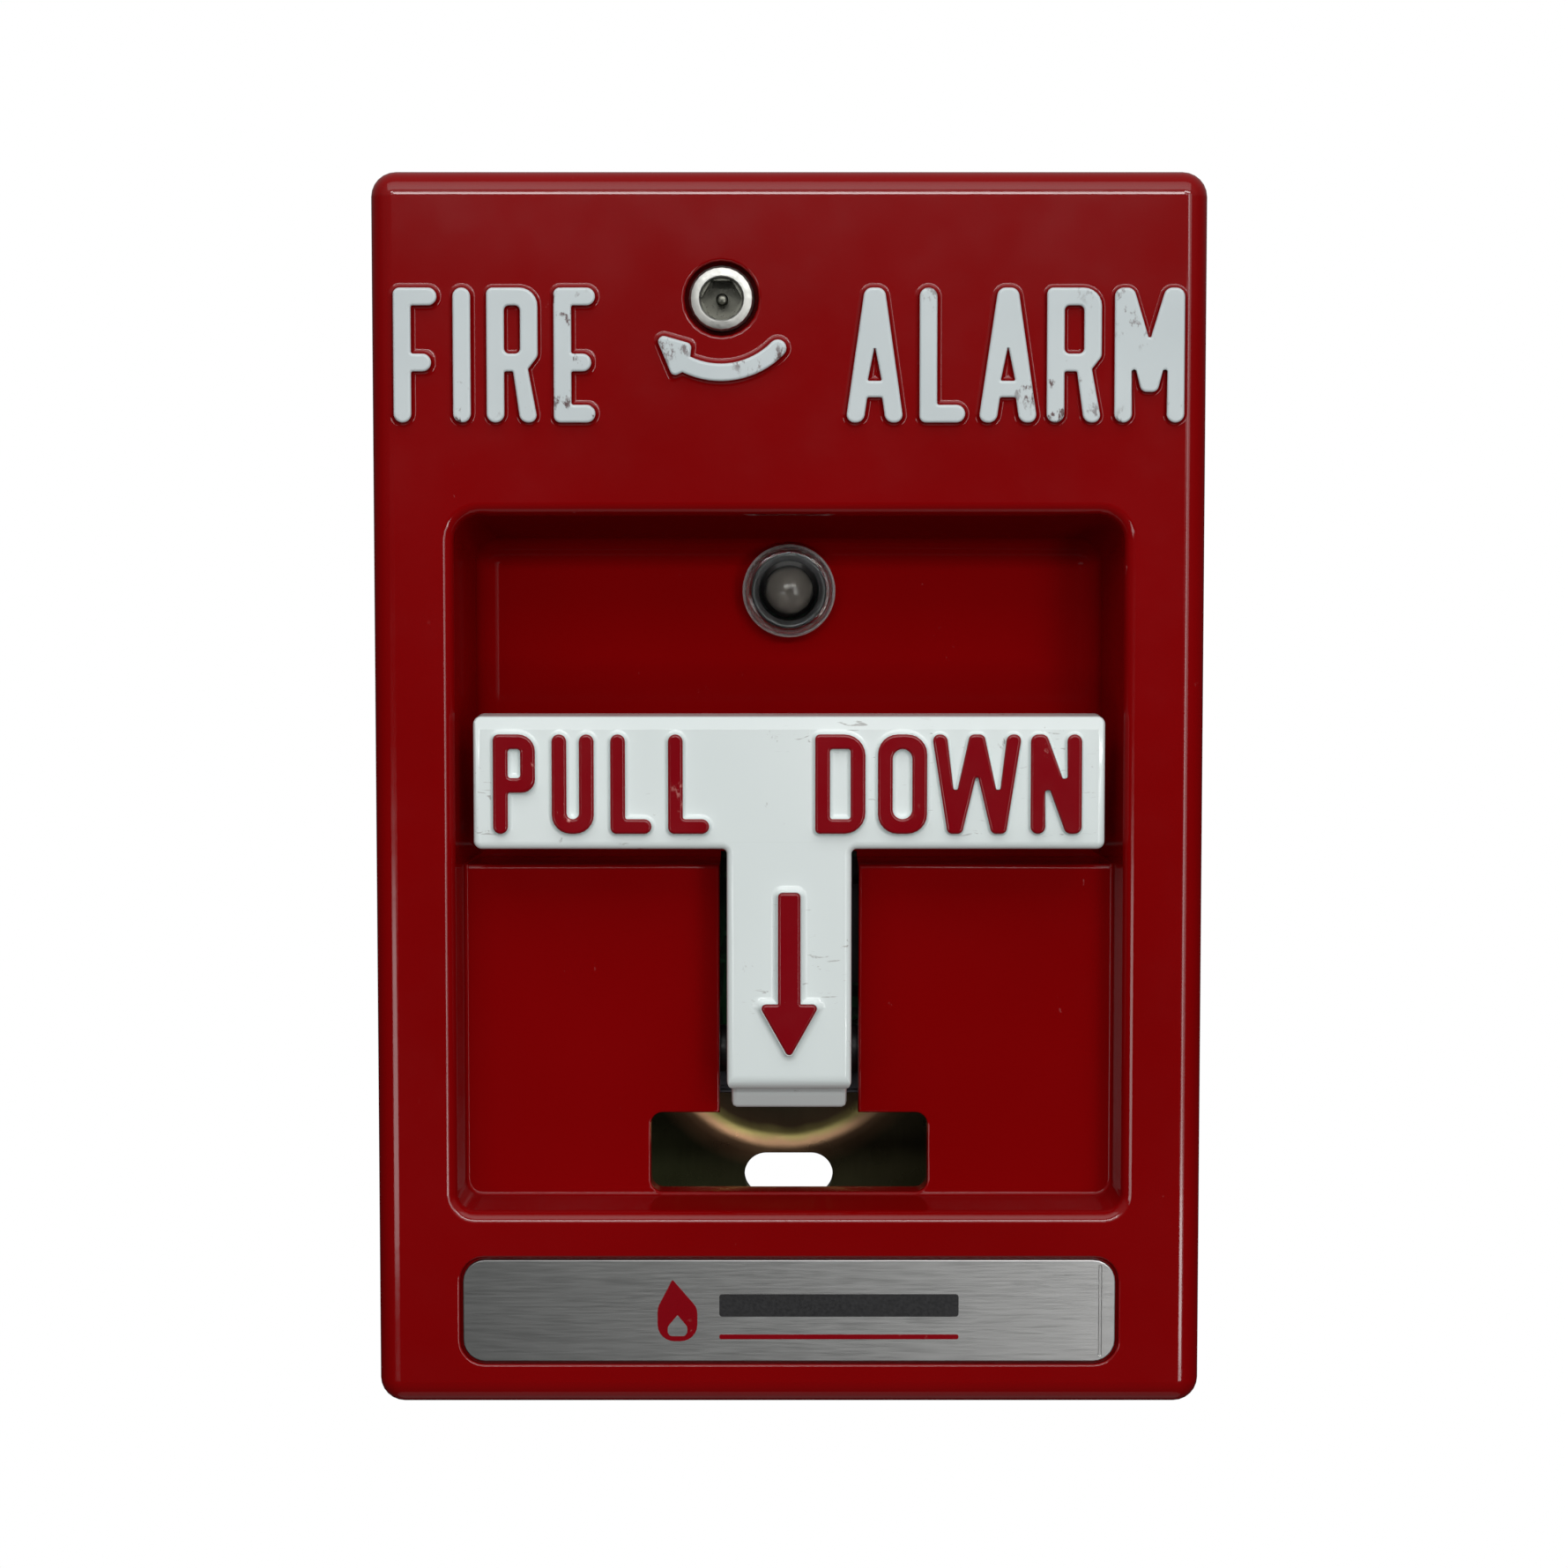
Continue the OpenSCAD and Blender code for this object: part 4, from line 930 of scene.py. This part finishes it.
def recess_shine(look):
    """Shine of the cover: full on its face, less in the recess, and least on the well's ceiling."""
    middle_z = 12
    depth, height = look.axis("Y"), look.axis("Z")
    shine = look.ranged(depth, (FRONT + 0.05) * MM, (FRONT + 0.4) * MM, 0.42, 0.16)
    across = look.combine("ABSOLUTE", look.axis("X"), 0)
    upward = look.combine("ABSOLUTE", look.combine("SUBTRACT", height, middle_z * MM), 0)
    well = look.combine("MULTIPLY", look.ranged(across, 37 * MM, 38 * MM, 1, 0),
                        look.ranged(upward, 17 * MM, 18.5 * MM, 1, 0))
    deep = look.ranged(depth, (FRONT + 0.6) * MM, (FRONT + 2) * MM, 0, 0.13)
    well = look.combine("MULTIPLY", well, deep)
    ceiling = look.combine("MULTIPLY", well, look.ranged(height, 24 * MM, 25.5 * MM, 0, 0.3))
    return look.combine("SUBTRACT", shine, look.combine("ADD", well, ceiling))


def enamel(name, light, dark, scuff, scuff_share, rough=0.1, dull_depth=False, scratched=False):
    """Thick stove enamel: slow colour drift, a faint orange peel and small scuffs. scuff_share is
    the level of the noise where scuffs start, so a higher value gives fewer of them."""
    look = Look(name, rough, IOR=1.5, Specular_IOR_Level=0.36)
    drift = look.ramp(look.noise(38, 2), (0.3, dark), (0.7, light))
    specks = look.ranged(look.noise(1.3, 5, (1, 1, 1.6), 0.65), scuff_share, scuff_share + 0.07)
    patches = look.ranged(look.noise(9, 2), 0.5, 0.62)
    marks = look.combine("MULTIPLY", specks, patches)
    if scratched:
        strokes = look.ranged(look.noise(0.8, 3, (3, 1, 0.6), 0.6, 0.8), 0.64, 0.7)
        spots = look.ranged(look.noise(12, 1), 0.55, 0.62, 0, 0.7)
        marks = look.combine("MAXIMUM", marks, look.combine("MULTIPLY", strokes, spots))
    look.set("Base Color", look.mix(marks, drift, scuff))
    look.set("Roughness", look.ranged(look.noise(6, 4), 0.3, 0.75, rough * 0.8, rough * 1.35))
    if dull_depth:
        look.set("Specular IOR Level", recess_shine(look))
    look.bump(look.noise(1.6, 2), 0.006, 0.6)
    return look.material


def brushed_strip():
    """Bare aluminium brushed along its length, with painted shade that darkens it towards its left end."""
    look = Look("brushed_strip", 0.33, 1.0)
    half = 32
    grains = look.noise(0.13, 3, (26, 1, 1))
    # Painted shade: the strip's colour goes from light at its right end to dark at its left, where less light
    # falls.
    across = look.ranged(look.axis("X"), -half * MM, half * MM)
    tone_with_painted_light = look.mix(across, (0.19, 0.195, 0.19), (0.58, 0.58, 0.57))
    look.set("Base Color", look.mix(look.ranged(grains, 0.3, 0.7, 0, 0.15), tone_with_painted_light, (0.25, 0.25, 0.25)))
    look.set("Roughness", look.ranged(grains, 0.25, 0.75, 0.3, 0.42))
    look.bump(grains, 0.002, 0.4)
    return look.material


def plated(name, colour, shade, rough, streak=(1, 1, 1), grain=0.35):
    """Plated or bare metal with fine grain along its streaks."""
    look = Look(name, rough, 1.0)
    grains = look.noise(grain, 4, streak)
    look.set("Base Color", look.mix(look.noise(7, 3), colour, shade))
    look.set("Roughness", look.ranged(grains, 0.25, 0.75, rough * 0.75, rough * 1.4))
    look.bump(grains, 0.004, 0.5)
    return look.material


def chromate():
    """Yellow chromate on zinc: olive, with an iridescent band round a shallow dish. The band's brightness is
    a painted highlight over the chromate's own tint, and the darker zones inside and outside the band and
    towards the right are painted shade.
    """
    dish_middle = (-0.4, -1.6, -25.7)
    dish_rim = (12.6 * MM, 14.6 * MM)
    band_reach = 40 * MM
    look = Look("yellow_chromate", 0.35, 0.75)
    reach = look.distance(look.place, dish_middle)
    cloud = look.noise(9, 3, (1, 1, 1), 0.6, 0.8)
    ring = look.combine("ADD", look.ranged(reach, 0, band_reach), look.ranged(cloud, 0, 1, -0.012, 0.012))
    # Painted light by distance from the dish: the bright yellow and pink stops are a painted highlight in the
    # chromate's iridescent tints. The dark stops inside and just outside them are painted shade, under the
    # handle's lip and inside the cover. Only the far olive is the plate's own colour.
    band_with_painted_light = look.ramp(ring, (0.25, (0.03, 0.02, 0.01)), (0.298, (0.1, 0.055, 0.028)),
                     (0.325, (0.7, 0.6, 0.2)), (0.345, (0.78, 0.44, 0.24)), (0.382, (0.2, 0.1, 0.05)),
                     (0.42, (0.03, 0.032, 0.012)), (0.75, (0.17, 0.19, 0.075)))
    # Painted shade: the plate darkens towards its right side.
    shade = look.ranged(look.axis("X"), -16 * MM, 14 * MM, 0.0, 0.6)
    tone_with_painted_light = look.mix(shade, band_with_painted_light, (0.08, 0.06, 0.03))
    fine = look.ranged(look.noise(0.5, 4, (1, 1, 6)), 0.3, 0.8, 0, 0.06)
    look.set("Base Color", look.mix(fine, tone_with_painted_light, (0.2, 0.2, 0.1)))
    look.set("Roughness", look.ranged(look.noise(5, 2), 0.3, 0.7, 0.26, 0.32))
    look.bump(look.ranged(reach, *dish_rim, how="SMOOTHSTEP"), 0.28)
    return look.material


def plastic(name, colour, rough=0.42, grain=0.3):
    """Moulded plastic with a fine spark-eroded grain."""
    look = Look(name, rough, IOR=1.49)
    shade = tuple(c * 0.8 for c in colour)
    look.set("Base Color", look.mix(look.noise(5, 3), colour, shade))
    grains = look.noise(grain, 3)
    look.set("Roughness", look.ranged(grains, 0.3, 0.7, rough * 0.85, rough * 1.2))
    look.bump(grains, 0.008, 0.5)
    return look.material


def clear_plastic():
    """Clear cap of the lamp, a little frosted along its rim."""
    look = Look("clear_acrylic", 0.03, IOR=1.4)
    flat = look.tree.nodes.new("ShaderNodeVectorMath")
    flat.operation = "MULTIPLY"
    look.link(look.place, flat.inputs[0])
    flat.inputs[1].default_value = (1, 0, 1)
    reach = look.distance(flat.outputs["Vector"], (0, 0, LENS_Z))
    rim = look.ranged(reach, 4.45 * MM, 4.7 * MM)
    look.set("Roughness", look.ranged(rim, 0, 1, 0.03, 0.45))
    look.set("Transmission Weight", look.ranged(rim, 0, 1, 1.0, 0.55))
    look.set("Base Color", look.mix(look.noise(4, 2), (0.93, 0.94, 0.93), (0.86, 0.88, 0.87)))
    look.bump(look.noise(2.5, 2), 0.004, 0.3)
    return look.material


def solder_mask():
    """Green board lacquer over a faint pattern of copper tracks."""
    look = Look("board_lacquer", 0.3, IOR=1.5, Coat_Weight=0.3)
    weave = look.noise(2.2, 1, (5, 1, 0.7))
    cross = look.noise(2.2, 1, (0.7, 1, 5))
    tracks = look.ranged(look.combine("MAXIMUM", weave, cross), 0.585, 0.6)
    look.set("Base Color", look.mix(tracks, (0.006, 0.075, 0.03), (0.02, 0.16, 0.06)))
    look.bump(tracks, 0.03, 0.5)
    return look.material


def build_materials():
    """Looks by the material slots of the part, and a few more for details."""
    return {
        "red_enamel": enamel("red_enamel_paint", (0.2, 0.0008, 0.0016), (0.175, 0.0004, 0.0008),
                             (0.35, 0.09, 0.09), 0.7, dull_depth=True),
        "white_enamel": enamel("white_enamel_paint", (0.68, 0.73, 0.72), (0.62, 0.68, 0.67),
                               (0.28, 0.27, 0.26), 0.68, scratched=True),
        "letter_white": enamel("letter_white_paint", (0.55, 0.6, 0.605), (0.46, 0.51, 0.52),
                               (0.12, 0.08, 0.08), 0.58, 0.2),
        "letter_red": enamel("letter_red_paint", (0.2, 0.002, 0.006), (0.17, 0.001, 0.004),
                             (0.5, 0.2, 0.18), 0.66, 0.16),
        "yellow_zinc": chromate(),
        "bright_zinc": plated("bright_zinc_plate", (0.62, 0.64, 0.66), (0.5, 0.52, 0.55), 0.3),
        "spring_steel": plated("spring_steel_strip", (0.1, 0.1, 0.11), (0.07, 0.07, 0.08), 0.32, (8, 1, 1)),
        "black_oxide": plated("black_oxide_steel", (0.06, 0.06, 0.065), (0.03, 0.03, 0.035), 0.4),
        # Painted shade: a darker copy of the nickel for the lock's mouth, socket and pin.
        "socket_shade": plated("socket_nickel_painted_shade", (0.15, 0.15, 0.125), (0.1, 0.1, 0.085), 0.3),
        "ink_black": plastic("black_print", (0.012, 0.012, 0.013), 0.35),
        "brushed_aluminium": brushed_strip(),
        "lock_nickel": plated("nickel_plate", (0.46, 0.46, 0.43), (0.38, 0.38, 0.36), 0.4),
        "clamp_brass": plated("brass_sheet", (0.72, 0.52, 0.22), (0.6, 0.42, 0.18), 0.3),
        "board_green": solder_mask(),
        "black_plastic": plastic("black_moulding", (0.018, 0.018, 0.02)),
        "ring_gloss": plastic("glossy_black_moulding", (0.07, 0.072, 0.075), 0.22),
        "terminal_plastic": plastic("terminal_moulding", (0.02, 0.16, 0.08)),
        "grey_plastic": plastic("grey_moulding", (0.27, 0.28, 0.29)),
        "white_plastic": plastic("white_moulding", (0.75, 0.75, 0.71)),
        "red_plastic": plastic("red_moulding", (0.5, 0.03, 0.02), 0.3),
        "tan_ceramic": plastic("tan_ceramic_body", (0.46, 0.33, 0.19), 0.5),
        "ground_green": enamel("green_lacquer", (0.03, 0.28, 0.09), (0.02, 0.22, 0.07),
                               (0.4, 0.4, 0.4), 0.66),
        "clear_plastic": clear_plastic(),
        "led_epoxy": plastic("lamp_epoxy", (0.2, 0.175, 0.155), 0.15, 1.5),
    }


# ---- Carried-over CAD nodes ----------------------------------------------

def refine(name, material, width):
    """Gives a CAD node its material, and breaks its sharp edges."""
    node = nodes[name]
    node.data.materials.clear()
    node.data.materials.append(material)
    weld = node.modifiers.new("weld", "WELD")
    weld.merge_threshold = 1e-6
    broken = node.modifiers.new("broken_edges", "BEVEL")
    broken.width = width * MM
    broken.segments = 2
    broken.limit_method = "ANGLE"
    broken.angle_limit = math.radians(35)
    broken.harden_normals = False
    even = node.modifiers.new("even", "WEIGHTED_NORMAL")
    even.keep_sharp = True


# ---- Scene ---------------------------------------------------------------

looks = build_materials()
build_cover(looks["red_enamel"], looks["letter_white"])
build_handle(looks["white_enamel"], looks["letter_red"])
build_lock(looks["lock_nickel"], looks["socket_shade"])
build_lamp(looks["clear_plastic"], looks["ring_gloss"], looks["led_epoxy"])
build_strip(looks["brushed_aluminium"], looks["letter_red"], looks["ink_black"])

REPLACED = {"front_cover", "pull_handle", "lock_barrel", "status_lens", "lens_bezel", "status_led",
            "name_plate"}
EDGE_WIDTH = 0.1
slot_of = {part["node"]: part["material_slot"] for part in frame["record"]["subparts"]}
for name in sorted(set(nodes) - REPLACED):
    refine(name, looks[slot_of[name]], EDGE_WIDTH)


def area_light(name, at, aim, size, radiance):
    """Soft rectangular lamp of a given brightness, aimed at a point."""
    lamp = bpy.data.lights.new(name, "AREA")
    lamp.shape = "RECTANGLE"
    lamp.size, lamp.size_y = size
    lamp.energy = radiance * math.pi * size[0] * size[1]
    holder = bpy.data.objects.new(name, lamp)
    holder.location = at
    holder.rotation_euler = (Vector(aim) - Vector(at)).to_track_quat("-Z", "Y").to_euler()
    bpy.context.scene.collection.objects.link(holder)


def build_world():
    """Studio room: dark below, brighter above. The camera itself sees plain white behind the object."""
    world = bpy.data.worlds.new("studio")
    bpy.context.scene.world = world
    world.use_nodes = True
    tree = world.node_tree
    place = tree.nodes.new("ShaderNodeTexCoord")
    axes = tree.nodes.new("ShaderNodeSeparateXYZ")
    tree.links.new(place.outputs["Generated"], axes.inputs[0])
    height = tree.nodes.new("ShaderNodeMapRange")
    height.inputs["From Min"].default_value = -1
    tree.links.new(axes.outputs["Z"], height.inputs["Value"])
    ramp = tree.nodes.new("ShaderNodeValToRGB")
    stops = ((0.0, 0.05), (0.46, 0.012), (0.51, 0.06), (0.56, 0.265), (1.0, 0.55))
    while len(ramp.color_ramp.elements) < len(stops):
        ramp.color_ramp.elements.new(0.5)
    for element, (position, grey) in zip(ramp.color_ramp.elements, stops):
        element.position = position
        element.color = (grey, grey, grey, 1)
    tree.links.new(height.outputs["Result"], ramp.inputs["Fac"])
    room = tree.nodes["Background"]
    tree.links.new(ramp.outputs["Color"], room.inputs["Color"])
    backdrop = tree.nodes.new("ShaderNodeBackground")
    backdrop.inputs["Color"].default_value = (1, 1, 1, 1)
    seen = tree.nodes.new("ShaderNodeLightPath")
    either = tree.nodes.new("ShaderNodeMixShader")
    tree.links.new(seen.outputs["Is Camera Ray"], either.inputs["Fac"])
    tree.links.new(room.outputs["Background"], either.inputs[1])
    tree.links.new(backdrop.outputs["Background"], either.inputs[2])
    tree.links.new(either.outputs["Shader"], tree.nodes["World Output"].inputs["Surface"])


def build_floor():
    mesh = bpy.data.meshes.new("floor")
    bm = bmesh.new()
    bmesh.ops.create_circle(bm, cap_ends=True, segments=96, radius=0.5)
    bm.to_mesh(mesh)
    bm.free()
    floor = bpy.data.objects.new("floor", mesh)
    floor.location = (0, 0, -1.2)
    look = Look("floor_paint", 0.8)
    look.set("Base Color", look.mix(look.noise(300, 2), (0.74, 0.74, 0.74), (0.72, 0.72, 0.72)))
    mesh.materials.append(look.material)
    bpy.context.scene.collection.objects.link(floor)


def build_camera():
    """The photographer stood 0.4 m off, five degrees above the middle."""
    lens = bpy.data.cameras.new("camera")
    lens.sensor_width = 36
    lens.lens = 92.55
    lens.clip_start = 0.01
    holder = bpy.data.objects.new("camera", lens)
    at = Vector((-0.0007, -0.4271, 0.0341))
    aim = Vector((-0.000512, -0.0285, 0.001141))
    holder.location = at
    holder.rotation_euler = (aim - at).to_track_quat("-Z", "Y").to_euler()
    bpy.context.scene.collection.objects.link(holder)
    bpy.context.scene.camera = holder


build_world()
build_floor()
build_camera()
centre = (0, -0.02, 0)
area_light("top_box", (0.0, -0.26, 0.31), centre, (0.5, 0.26), 1.75)
area_light("top_tube", (0.1, -1.0, 0.36), centre, (0.9, 0.1), 15)
area_light("low_tube", (0.0, -1.0, 0.19), centre, (0.5, 0.05), 4.4)
area_light("left_low", (-0.47, -1.0, -0.19), centre, (0.45, 0.14), 4.4)
area_light("right_tube", (0.42, -1.0, 0.0), centre, (0.1, 0.5), 4)
area_light("right_low", (0.42, -1.0, -0.27), centre, (0.25, 0.07), 11)
area_light("right_box", (0.45, -0.9, 0.0), centre, (0.3, 0.5), 1.75)
bpy.context.scene.view_settings.view_transform = "Standard"
